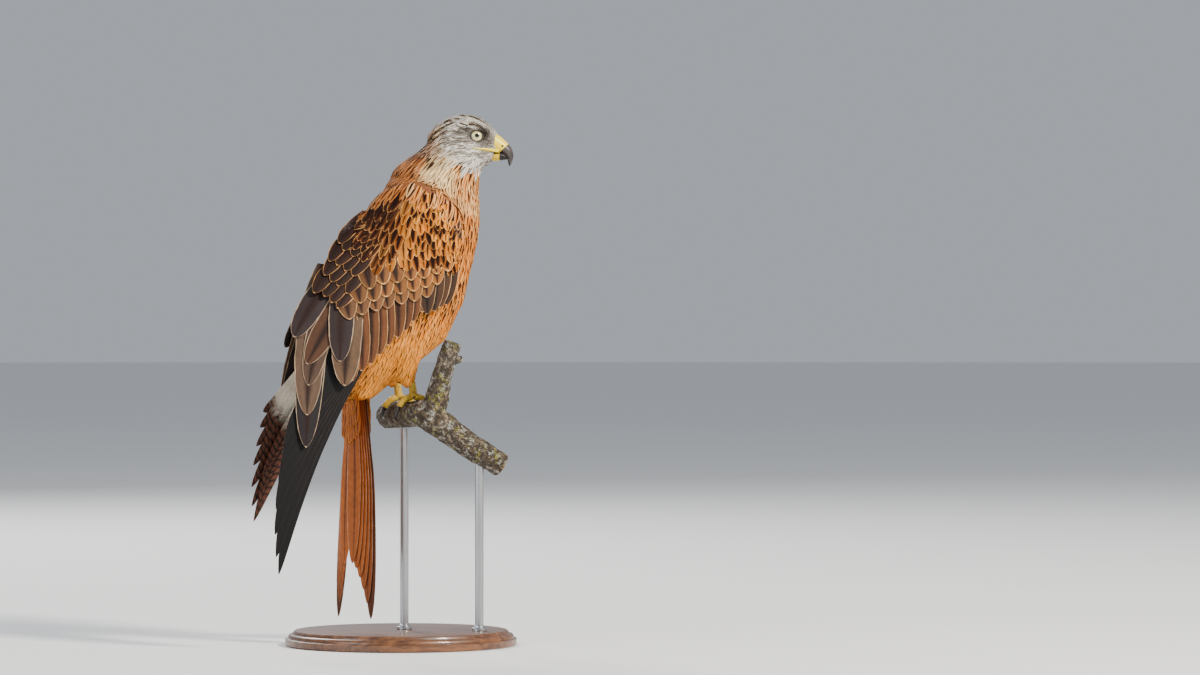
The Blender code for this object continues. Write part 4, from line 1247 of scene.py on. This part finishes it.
def make_eyes():
    look = Look("eye", 0.08, coat=1.0, display=linear(220, 214, 160))
    across, ring, _ = look.parts(look.node("ShaderNodeUVMap", {"uv_map": "span"}))
    rays = look.noise(look.vector(across * 60.0, ring * 6.0), 1.0, 3.0)
    iris = look.mix(linear(226, 218, 160), linear(176, 160, 96), rays.step(0.35, 0.75))
    iris = look.mix(iris, linear(60, 50, 26), ring.step(0.225, 0.262))
    iris = look.mix(linear(4, 4, 5), iris, ring.step(0.098, 0.11))
    look.finish("Base Color", look.mix(iris, linear(14, 11, 9), ring.step(0.265, 0.275)))
    for side, name in ((-1, "eye_right"), (1, "eye_left")):
        gaze = (HEAD_LEFT * side + HEAD_AHEAD * 0.22 + Vector((0, 0, 0.06))).normalized()
        first = gaze.orthogonal().normalized()
        second = gaze.cross(first)
        centre = head_point(EYE_ALONG, side * EYE_DEPTH, EYE_HEIGHT)

        def place(turn, share, gaze=gaze, first=first, second=second, centre=centre):
            angle = pi * share
            spoke = first * cos(2 * pi * turn) + second * sin(2 * pi * turn)
            return centre + (gaze * cos(angle) + spoke * sin(angle)) * EYE_RADIUS

        eye = piece_from(wrapped(place, 32, 33), name + "_ball", look.material)
        carry(eye, "eye_glass", name)


def make_lids(material):
    for side, name in ((-1, "lid_right"), (1, "lid_left")):
        outward = (HEAD_LEFT * side + HEAD_AHEAD * 0.25 + Vector((0, 0, 0.1))).normalized()
        along = outward.cross(Vector((0, 0, 1))).normalized()
        up = along.cross(outward).normalized()
        centre = head_point(EYE_ALONG, side * EYE_DEPTH, EYE_HEIGHT) + outward * 4.4

        def place(turn, share, outward=outward, along=along, up=up, centre=centre):
            angle = 2 * pi * turn
            spoke = along * cos(angle) + up * sin(angle)
            lift = 1.0 + 0.25 * max(sin(angle), 0.0)
            middle = centre + spoke * (LID_RADIUS - 0.1)
            round_turn = 2 * pi * share
            return middle + spoke * (1.35 * cos(round_turn)) + outward * (1.9 * lift * sin(round_turn))

        bm = wrapped(place, 40, 12)
        carry(piece_from(bm, name, material), "pale_head")


BILL_UPPER = (
    ((98.1, 305.4), (87.7, 296.2), 7.7),
    ((101.6, 300.4), (91.4, 293.6), 6.7),
    ((103.5, 294.0), (94.6, 290.6), 5.3),
    ((103.0, 287.6), (96.6, 286.4), 3.7),
    ((101.0, 281.8), (97.6, 282.2), 2.0),
    ((99.3, 279.6), (98.6, 279.8), 0.3),
)
CERE = (
    ((82.8, 318.4), (80.2, 296.6), 10.6),
    ((86.6, 315.8), (83.0, 296.2), 9.9),
    ((89.3, 313.8), (84.4, 296.0), 9.5),
    ((91.8, 311.4), (85.2, 296.0), 9.2),
    ((95.0, 308.4), (86.4, 296.0), 8.6),
    ((97.9, 305.5), (87.6, 295.9), 7.9),
)
BILL_LOWER = (
    ((75.0, 294.8), (76.0, 287.0), 6.6),
    ((84.0, 296.4), (81.6, 285.6), 7.7),
    ((90.0, 296.2), (87.2, 286.2), 7.1),
    ((94.4, 294.0), (92.4, 286.9), 5.3),
    ((97.4, 290.4), (96.2, 287.4), 3.0),
)


def bill_form(table, sides, rings, ridge=0.0):
    """A horn sheath through a table of sections, each with top, bottom and half width."""
    rows = [(*top, *bottom, width) for top, bottom, width in table]

    def place(turn, share):
        top_along, top_height, low_along, low_height, width = curve_through(rows, share)
        angle = 2.0 * pi * turn
        up = cos(angle)
        pinch = 1.0 - ridge * max(up, 0.0) ** 2
        along = 0.5 * (top_along + low_along) + 0.5 * (top_along - low_along) * up
        height = 0.5 * (top_height + low_height) + 0.5 * (top_height - low_height) * up
        return head_point(along, width * pinch * sin(angle), height)

    return wrapped(place, sides, rings, caps=True)


def make_bill(surface):
    horn = Look("bill_horn", 0.32, coat=0.3, display=linear(40, 34, 34))
    spots = horn.places((1.0, 1.0, 0.25))
    streaks = horn.noise(spots, 0.7, 3.0)
    base = horn.places()
    height = horn.parts(base)[2]
    colour = horn.mix(linear(26, 22, 24), linear(72, 64, 62), streaks.step(0.35, 0.8))
    pale = (height - (PERCH_CENTRE.z + 292.0)).step(-4.0, 8.0)
    horn.finish("Base Color", horn.mix(colour, linear(84, 76, 70), pale * 0.55))
    horn.finish("Roughness", 0.26 + streaks * 0.2)
    horn.bump(streaks, 0.0002, 0.5)
    upper_form = bill_form(BILL_UPPER, 32, 28, 0.25)
    carry(piece_from(upper_form, "bill_upper_horn", horn.material), "bill_horn", "bill_upper")
    lower = Look("bill_lower_horn", 0.5, gloss=0.25, display=linear(60, 52, 40))
    along = lower.parts(lower.places((1.0, 1.0, 1.0), (0.0, 0.0, HEAD_TURN)))[0]
    reach = along - (cos(HEAD_TURN) * PERCH_CENTRE.x)
    tone = lower.noise(lower.places(), 0.8, 2.0)
    yellow = lower.mix(linear(214, 180, 40), linear(160, 130, 40), tone.step(0.4, 0.8))
    lower.finish("Base Color", lower.mix(yellow, linear(34, 30, 30), (reach + tone).step(86.5, 88.8)))
    lower.bump(tone, 0.0002, 0.4)
    lower_form = bill_form(BILL_LOWER, 28, 18)
    carry(piece_from(lower_form, "bill_lower_horn", lower.material), "bill_horn", "bill_lower")
    wax = Look("cere_wax", 0.42, coat=0.25, sheen=0.1, display=linear(236, 204, 30))
    pores = wax.noise(wax.places(), 1.6, 3.0)
    folds = wax.noise(wax.places((0.5, 0.5, 1.4)), 0.5, 2.0)
    skin = wax.mix(linear(244, 214, 24), linear(206, 160, 20), pores.step(0.45, 0.8))
    wax.finish("Base Color", wax.mix(skin, linear(250, 226, 70), folds.step(0.5, 0.75) * 0.6))
    wax.bump(pores + folds, 0.00025, 0.6)
    cere = piece_from(bill_form(CERE, 40, 20), "cere_wax", wax.material)
    carry(cere, "cere_skin", "cere")
    hollow = Look("nostril_shade", 0.8, display=linear(30, 20, 12))
    depth = hollow.noise(hollow.places(), 1.0, 1.0)
    hollow.finish("Base Color", hollow.mix(linear(22, 14, 8), linear(60, 38, 12), depth.step(0.4, 0.8)))
    for side, name in ((-1, "right"), (1, "left")):
        def nostril(turn, share, side=side):
            angle, fold = 2 * pi * turn, pi * share
            rim = sin(fold)
            along = NOSTRIL_ALONG + 1.7 * cos(angle) * rim
            height = NOSTRIL_HEIGHT + 1.25 * sin(angle) * rim
            return head_point(along, side * (NOSTRIL_SIDE + 0.75 * cos(fold)), height)

        carry(piece_from(wrapped(nostril, 20, 12), "nostril_" + name, hollow.material), "cere_skin")

        def lip(turn, share, side=side, back=GAPE_START, drop=0.0, thick=None, proud=1.0):
            angle = 2 * pi * turn
            along = back + (GAPE_END - back) * share
            middle, half = gape_line(along)
            height = middle - drop * share + (half if thick is None else thick) * sin(angle)
            start = head_point(along, side * 40.0, height)
            hit = surface.ray_cast(start, HEAD_LEFT * -side)[0]
            skin_side = 7.0
            if hit is not None:
                skin_side = (hit - head_point(along, 0.0, height)).dot(HEAD_LEFT) * side
            hidden = float(smooth(GAPE_END - 6.0, GAPE_END - 0.5, along))
            width = max(skin_side, 7.0) * (1.0 - hidden) + 6.8 * hidden
            return head_point(along, side * (width + 0.1 + proud * cos(angle)), height)

        def mouth(turn, share, side=side):
            return lip(turn, share, side, MOUTH_START, 2.6, 0.45, 1.4)

        carry(piece_from(wrapped(lip, 16, 30, caps=True), "gape_" + name, wax.material), "cere_skin")
        # The mouth line is a dark tube in the nostril's material: painted shade in the crease where the
        # mandibles close
        shut = wrapped(mouth, 10, 24, caps=True)
        carry(piece_from(shut, "mouth_line_" + name, hollow.material), "cere_skin")


def toe_path(side, spread, way, sweep):
    points = []
    for step in range(6):
        share = step / 5
        angle = radians(4.0 + sweep * share)
        y = side * FOOT_SIDE + spread * (0.25 + 0.75 * share)
        reach = LIMB_RADIUS + 0.3 + TOE_RADIUS * 0.96
        points.append(limb_centre(y) + Vector((way * reach * sin(angle), 0, reach * cos(angle))))
    return points


def make_feet():
    scales = Look("foot_scutes", 0.5, coat=0.15, display=linear(220, 176, 40))
    along = scales.parts(scales.node("ShaderNodeUVMap", {"uv_map": "span"}))[1]
    bands = (along * 88.0).wave()
    grain = scales.cells(scales.places(), 0.9, "DISTANCE_TO_EDGE")
    groove = bands.step(0.75, 1.0).most(1.0 - grain.step(0.0, 0.16))
    tone = scales.noise(scales.places(), 0.35, 2.0)
    yellow = scales.mix(linear(232, 190, 44), linear(196, 148, 40), tone.step(0.4, 0.75))
    scales.finish("Base Color", scales.mix(yellow, linear(120, 86, 30), groove * 0.6))
    scales.bump(1.0 - groove, 0.0004, 0.8)
    horn = Look("claw_horn", 0.22, coat=0.5, display=linear(20, 18, 18))
    streaks = horn.noise(horn.places((1.0, 1.0, 0.3)), 1.2, 3.0)
    horn.finish("Base Color", horn.mix(linear(14, 12, 13), linear(58, 50, 46), streaks.step(0.5, 0.9)))
    horn.bump(streaks, 0.0001, 0.5)
    plans = ((0.0, 1, 68.0), (9.5, 1, 60.0), (-9.5, 1, 60.0), (0.0, -1, 62.0))
    hint = Vector((0, 1, 0))
    for side, label in ((-1, "right"), (1, "left")):
        ankle = limb_centre(side * FOOT_SIDE) + Vector((0, 0, LIMB_RADIUS + 4.8))
        shank = [ankle + Vector((-2, 0, 16)), ankle + Vector((-1, 0, 8)), ankle + Vector((0, 0, -1.2))]
        whole = tube(shank, (4.3, 4.5, 5.2), 20, 16, hint)
        for number, (spread, way, sweep) in enumerate(plans):
            points = toe_path(side, spread, way, sweep)
            radii = [TOE_RADIUS * share for share in (1.0, 0.94, 0.99, 0.86, 0.92, 0.74)]
            toe = tube(points, radii, 16, 40, hint, round_start=True)
            mesh = bpy.data.meshes.new("toe")
            toe.to_mesh(mesh)
            toe.free()
            whole.from_mesh(mesh)
            bpy.data.meshes.remove(mesh)
            heading = (points[-1] - points[-2]).normalized()
            inward = (limb_centre(points[-1].y) - points[-1]).normalized()
            start = points[-1] - heading * 1.5
            reach = []
            for step in range(6):
                share = step / 5
                hook = 2.2 * share - share * share
                reach.append(start + heading * ((CLAW_REACH + 1.5) * share) + inward * hook)
            claw = tube(reach, (2.4, 2.35, 2.0, 1.5, 0.9, 0.12), 16, 20, hint, round_start=True)
            name = "claw_%s_%d" % (label, number + 1)
            carry(piece_from(claw, name + "_horn", horn.material), "claw_horn", name)
        carry(piece_from(whole, "foot_%s_scaled" % label, scales.material), "foot_scutes", "foot_" + label)


# Perch and stand


# The middle of the white splash on the limb
SPLASH = tuple(Vector((-8.0, -36.0, -2.0)) + PERCH_CENTRE)


def make_perch():
    bark = Look("bark", 0.92, display=linear(104, 90, 74))
    spot = bark.places()
    ridges = bark.noise(bark.places((1.0, 1.0, 1.0)), 0.09, 6.0, 0.62, 0.6)
    folds = bark.noise(bark.places((1.0, 1.0, 1.0), (0.7, 0.2, 1.1)), 0.13, 4.0, 0.6, 1.2)
    cracks = (folds - 0.5).size() * 2.6 + (ridges - 0.5).size()
    grain = bark.noise(spot, 0.55, 5.0, 0.65)
    colour = bark.mix(linear(74, 60, 46), linear(128, 112, 92), ridges.step(0.35, 0.7))
    colour = bark.mix(colour, linear(34, 27, 21), (1.0 - cracks.step(0.02, 0.30)) * 0.8)
    pale = bark.noise(spot, 0.11, 5.0, 0.7).step(0.52, 0.60)
    colour = bark.mix(colour, linear(186, 182, 170), pale * grain.step(0.35, 0.6))
    moss = bark.noise(bark.places((1.0, 1.0, 1.0), (0.4, 0.9, 0.2)), 0.075, 5.0, 0.7).step(0.55, 0.62)
    colour = bark.mix(colour, linear(150, 146, 44), moss * grain.step(0.4, 0.62))
    splash = bark.node("ShaderNodeVectorMath", {"operation": "DISTANCE"}, {0: spot, 1: SPLASH}, 1)
    white = 1.0 - (splash + (pale + grain) * 5.0).step(8.0, 13.0)
    colour = bark.mix(colour, linear(222, 220, 214), white)
    wood = bark.attribute("cut", 2)
    rings = bark.noise(bark.places((2.4, 2.4, 2.4)), 0.25, 3.0)
    sawn = bark.mix(linear(176, 142, 98), linear(128, 92, 58), rings.step(0.4, 0.65))
    colour = bark.mix(colour, sawn, wood)
    bark.finish("Base Color", bark.shade(colour, 0.72 + grain * 0.5))
    bark.bump(ridges * 1.2 + grain * 0.5 + cracks.step(0.0, 0.35) * 0.9, 0.0024, 1.0)
    bm = bmesh.new()
    bm.from_mesh(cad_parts["perch_branch"].data)
    bmesh.ops.remove_doubles(bm, verts=bm.verts[:], dist=1e-6)
    perch = piece_from(bm, "perch_bark", bark.material)
    remesh = perch.modifiers.new("remesh", "REMESH")
    remesh.mode = "VOXEL"
    remesh.voxel_size = 1.25 * MM
    relax = perch.modifiers.new("relax", "SMOOTH")
    relax.factor = 0.5
    relax.iterations = 4
    apply_modifiers(perch)
    places = places_of(perch.data)
    normals = normals_of(perch.data)
    ends = (
        (LIMB_FAR_END, (LIMB_FAR_END - LIMB_JOINT).normalized()),
        (BRANCH_CUT_END, (BRANCH_CUT_END - LIMB_JOINT - Vector((52, -2, -34))).normalized()),
    )
    cut = np.zeros(len(places))
    for end, way in ends:
        beyond = (places - np.array(end)) @ np.array(way)
        facing = normals @ np.array(way)
        cut = np.maximum(cut, (beyond > -2.5) * smooth(0.55, 0.85, facing))
    rough = np.array([
        noise.fractal(Vector(place) * 0.085, 0.8, 2.1, 4) * 1.1 + noise.noise(Vector(place) * 0.35) * 0.35
        for place in places
    ])
    inset = np.clip(0.75 - rough, 0.0, 2.2) * (1.0 - 0.8 * cut)
    set_places(perch.data, places - normals * inset[:, None])
    layer = perch.data.attributes.new("cut", "FLOAT", "POINT")
    layer.data.foreach_set("value", cut)
    perch.data.shade_smooth()
    carry(perch, "bark", "perch_branch")


def make_stand():
    wood = Look("base_wood", 0.38, coat=0.35, display=linear(92, 58, 36))
    rings = wood.noise(wood.places((0.02, 0.16, 0.16)), 1.0, 4.0, 0.6, 0.4)
    pores = wood.noise(wood.places((0.06, 1.4, 1.4)), 1.0, 3.0)
    colour = wood.mix(linear(70, 42, 25), linear(124, 80, 48), rings.step(0.3, 0.7))
    wood.finish("Base Color", wood.mix(colour, linear(48, 28, 17), pores.step(0.58, 0.75) * 0.6))
    wood.finish("Roughness", 0.3 + pores * 0.2)
    wood.bump(pores, 0.0002, 0.3)
    low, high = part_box("stand_base")
    radius = 0.5 * (high[0] - low[0])
    height = high[2] - low[2]
    centre = Vector((0.5 * (low[0] + high[0]), 0.5 * (low[1] + high[1]), low[2]))
    profile = [(0.0, 0.0), (radius - 0.0015, 0.0), (radius, 0.0015), (radius, 0.45 * height)]
    for step in range(7):
        angle = 0.5 * pi * step / 6
        profile.append((radius - 0.004 + 0.004 * cos(angle) - 0.003, 0.5 * height + 0.005 * sin(angle)))
    profile += [(radius - 0.009, 0.78 * height), (radius - 0.0095, 0.9 * height)]
    profile += [(radius - 0.011, 0.985 * height), (radius - 0.0125, height), (0.0, height)]
    bm = bmesh.new()
    verts = [bm.verts.new(centre + Vector((x, 0, z))) for x, z in profile]
    edges = [bm.edges.new(pair) for pair in zip(verts, verts[1:])]
    bmesh.ops.spin(
        bm, geom=verts + edges, cent=centre, axis=(0, 0, 1), angle=2 * pi, steps=128, use_merge=True
    )
    bmesh.ops.remove_doubles(bm, verts=bm.verts[:], dist=1e-6)
    bmesh.ops.recalc_face_normals(bm, faces=bm.faces[:])
    carry(piece_from(bm, "base_turned", wood.material, 35.0), "base_wood", "stand_base")
    steel = Look("rod_steel", 0.3, 1.0, display=(0.4, 0.4, 0.41))
    brushed = steel.noise(steel.places((0.9, 0.9, 0.02)), 1.0, 3.0)
    steel.finish("Base Color", steel.mix((0.36, 0.36, 0.37), (0.52, 0.52, 0.53), brushed))
    steel.finish("Roughness", 0.22 + brushed * 0.22)
    steel.bump(brushed, 0.00005, 0.3)
    for number in (1, 2):
        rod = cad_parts["stand_rod_%d" % number]
        skin_material(rod, steel.material)
        low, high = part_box(rod.name)
        foot = Vector((0.5 * (low[0] + high[0]), 0.5 * (low[1] + high[1]), low[2]))
        steps = ((5.3, 0.0), (9.0, 0.0), (9.0, 2.2), (8.4, 3.0), (6.6, 3.6), (6.2, 5.6), (5.3, 6.0))
        bm = bmesh.new()
        verts = [bm.verts.new(foot + Vector((x * MM, 0, z * MM))) for x, z in steps]
        edges = [bm.edges.new(pair) for pair in zip(verts, verts[1:] + verts[:1])]
        bmesh.ops.spin(
            bm, geom=verts + edges, cent=foot, axis=(0, 0, 1), angle=2 * pi, steps=48, use_merge=True
        )
        bmesh.ops.recalc_face_normals(bm, faces=bm.faces[:])
        carry(piece_from(bm, "rod_collar_%d" % number, steel.material, 30.0), "rod_steel")


# Stage


def make_stage():
    look = Look("pale_floor", 0.85, display=(0.8, 0.8, 0.8))
    tone = look.noise(look.places((0.002, 0.002, 0.002)), 1.0, 2.0)
    look.finish("Base Color", look.mix((0.78, 0.785, 0.79), (0.82, 0.825, 0.83), tone))
    bm = bmesh.new()
    bmesh.ops.create_circle(bm, cap_ends=True, segments=96, radius=60.0)
    floor = piece_from(bm, "floor", look.material)
    world = bpy.data.worlds.new("studio")
    bpy.context.scene.world = world
    world.use_nodes = True
    sky = world.node_tree.nodes["Background"]
    sky.inputs["Color"].default_value = (0.80, 0.86, 0.94, 1.0)
    sky.inputs["Strength"].default_value = 0.5


def lamp(name, place, target, size, power, colour):
    data = bpy.data.lights.new(name, "AREA")
    data.size = size
    data.energy = power
    data.color = colour
    light = bpy.data.objects.new(name, data)
    light.location = place
    light.rotation_euler = (Vector(target) - Vector(place)).to_track_quat("-Z", "Y").to_euler()
    bpy.context.scene.collection.objects.link(light)


def make_camera_and_light():
    turn = -HEAD_TURN
    right = Vector((cos(turn), sin(turn), 0.0))
    ahead = Vector((-sin(turn), cos(turn), 0.0))
    up = Vector((0, 0, 1))
    aim = PERCH_CENTRE * MM + right * 0.205 + up * 0.079
    data = bpy.data.cameras.new("camera")
    data.lens = 135.0
    data.sensor_width = 36.0
    camera = bpy.data.objects.new("camera", data)
    camera.location = aim - ahead * 5.265
    camera.rotation_euler = (radians(90.0), 0.0, turn)
    bpy.context.scene.collection.objects.link(camera)
    bpy.context.scene.camera = camera
    middle = PERCH_CENTRE * MM + up * 0.08
    lamp("key", middle + right * 3.4 - ahead * 2.6 + up * 3.0, middle, 0.9, 520.0, (1.0, 0.94, 0.84))
    lamp("fill", middle - right * 3.0 - ahead * 2.6 + up * 1.0, middle, 2.4, 70.0, (0.86, 0.93, 1.0))
    lamp("rim", middle - right * 1.6 + ahead * 3.4 + up * 2.4, middle, 1.4, 150.0, (1.0, 0.98, 0.95))


def skin_look():
    look = Look("skin", 0.8, display=BREAST_ORANGE)
    down = look.noise(look.places((1.0, 1.0, 0.35)), 0.8, 3.0)
    tone = look.attribute("skin_tone")
    # The skin's colour is cut to a quarter to three fifths: painted shade, so that skin seen between
    # feathers reads as shadow
    look.finish("Base Color", look.shade(tone, 0.25 + down * 0.35))
    look.bump(down, 0.0006, 0.6)
    return look.material


def paint_skin(skin):
    """The skin carries the coat's markings, and the painted shade under the brow."""
    plan = plumage_plan(places_of(skin.data), normals_of(skin.data))

    def blended(colour, other, share):
        return colour + (np.array(other) - colour) * share[:, None]

    colour = np.tile(BREAST_ORANGE, (len(plan["head"]), 1))
    colour = blended(colour, BELLY_ORANGE, plan["low"])
    colour = blended(colour, SCAPULAR_DARK, np.maximum(plan["back"] * (1.0 - plan["low"]), plan["mantle"]))
    colour = blended(colour, NAPE_RUFOUS, plan["neck"])
    colour = blended(colour, PALE_GREY, plan["head"])
    colour = blended(colour, NAPE_RUFOUS, plan["nape"])
    colour = blended(colour, CREAM, 0.8 * plan["cream"])
    colour = blended(colour, linear(84, 76, 66), 0.8 * plan["lores"] * (1.0 - plan["forehead"]))
    # Painted shade under the brow before the eye, and the dark stripe behind it
    colour = blended(colour, linear(40, 31, 24), np.maximum(plan["eye_shade"], 0.6 * plan["eye_stripe"]))
    layer = skin.data.attributes.new("skin_tone", "FLOAT_COLOR", "POINT")
    layer.data.foreach_set("color", np.hstack((colour, np.ones((len(colour), 1)))).ravel())


def main():
    make_camera_and_light()
    make_stage()
    vane = feather_look("flight_plumage", 0.6, 0.22, 0.0002, 0.3)
    down = feather_look("soft_plumage", 0.8, 0.12, 0.0002, 0.5)
    skin = make_skin(skin_look())
    paint_skin(skin)
    carry(skin, "rufous_plumage", "torso", "neck", "head", "thigh_left", "thigh_right")
    wings = []
    settings = {-1: ("right", 1.0, 0.0), 1: ("left", FAR_HAND_REACH, FAR_HAND_SWEEP)}
    for side, (label, reach, sweep) in settings.items():
        rng = np.random.default_rng(20 + side)
        flight = flight_feathers(side, SHEETS[side], rng, reach, sweep)
        flight.spread_patches()
        small = coverts(SHEETS[side], rng)
        small.spread_patches()
        wings.append(carry(flight.make("flight_feathers_" + label, vane), "brown_wing", "wing_" + label))
        wings.append(carry(small.make("wing_coverts_" + label, vane), "brown_wing"))
    surface = surface_of(skin)
    make_coat(skin, surface, wings, down)
    make_tail(vane)
    make_eyes()
    lid = Look("lid_skin", 0.5, coat=0.2, display=linear(50, 42, 36))
    wrinkles = lid.noise(lid.places(), 1.2, 3.0)
    lid.finish("Base Color", lid.mix(linear(34, 28, 24), linear(96, 84, 66), wrinkles.step(0.45, 0.8)))
    lid.bump(wrinkles, 0.0003, 0.6)
    make_lids(lid.material)
    make_bill(surface)
    make_feet()
    make_perch()
    make_stand()


main()
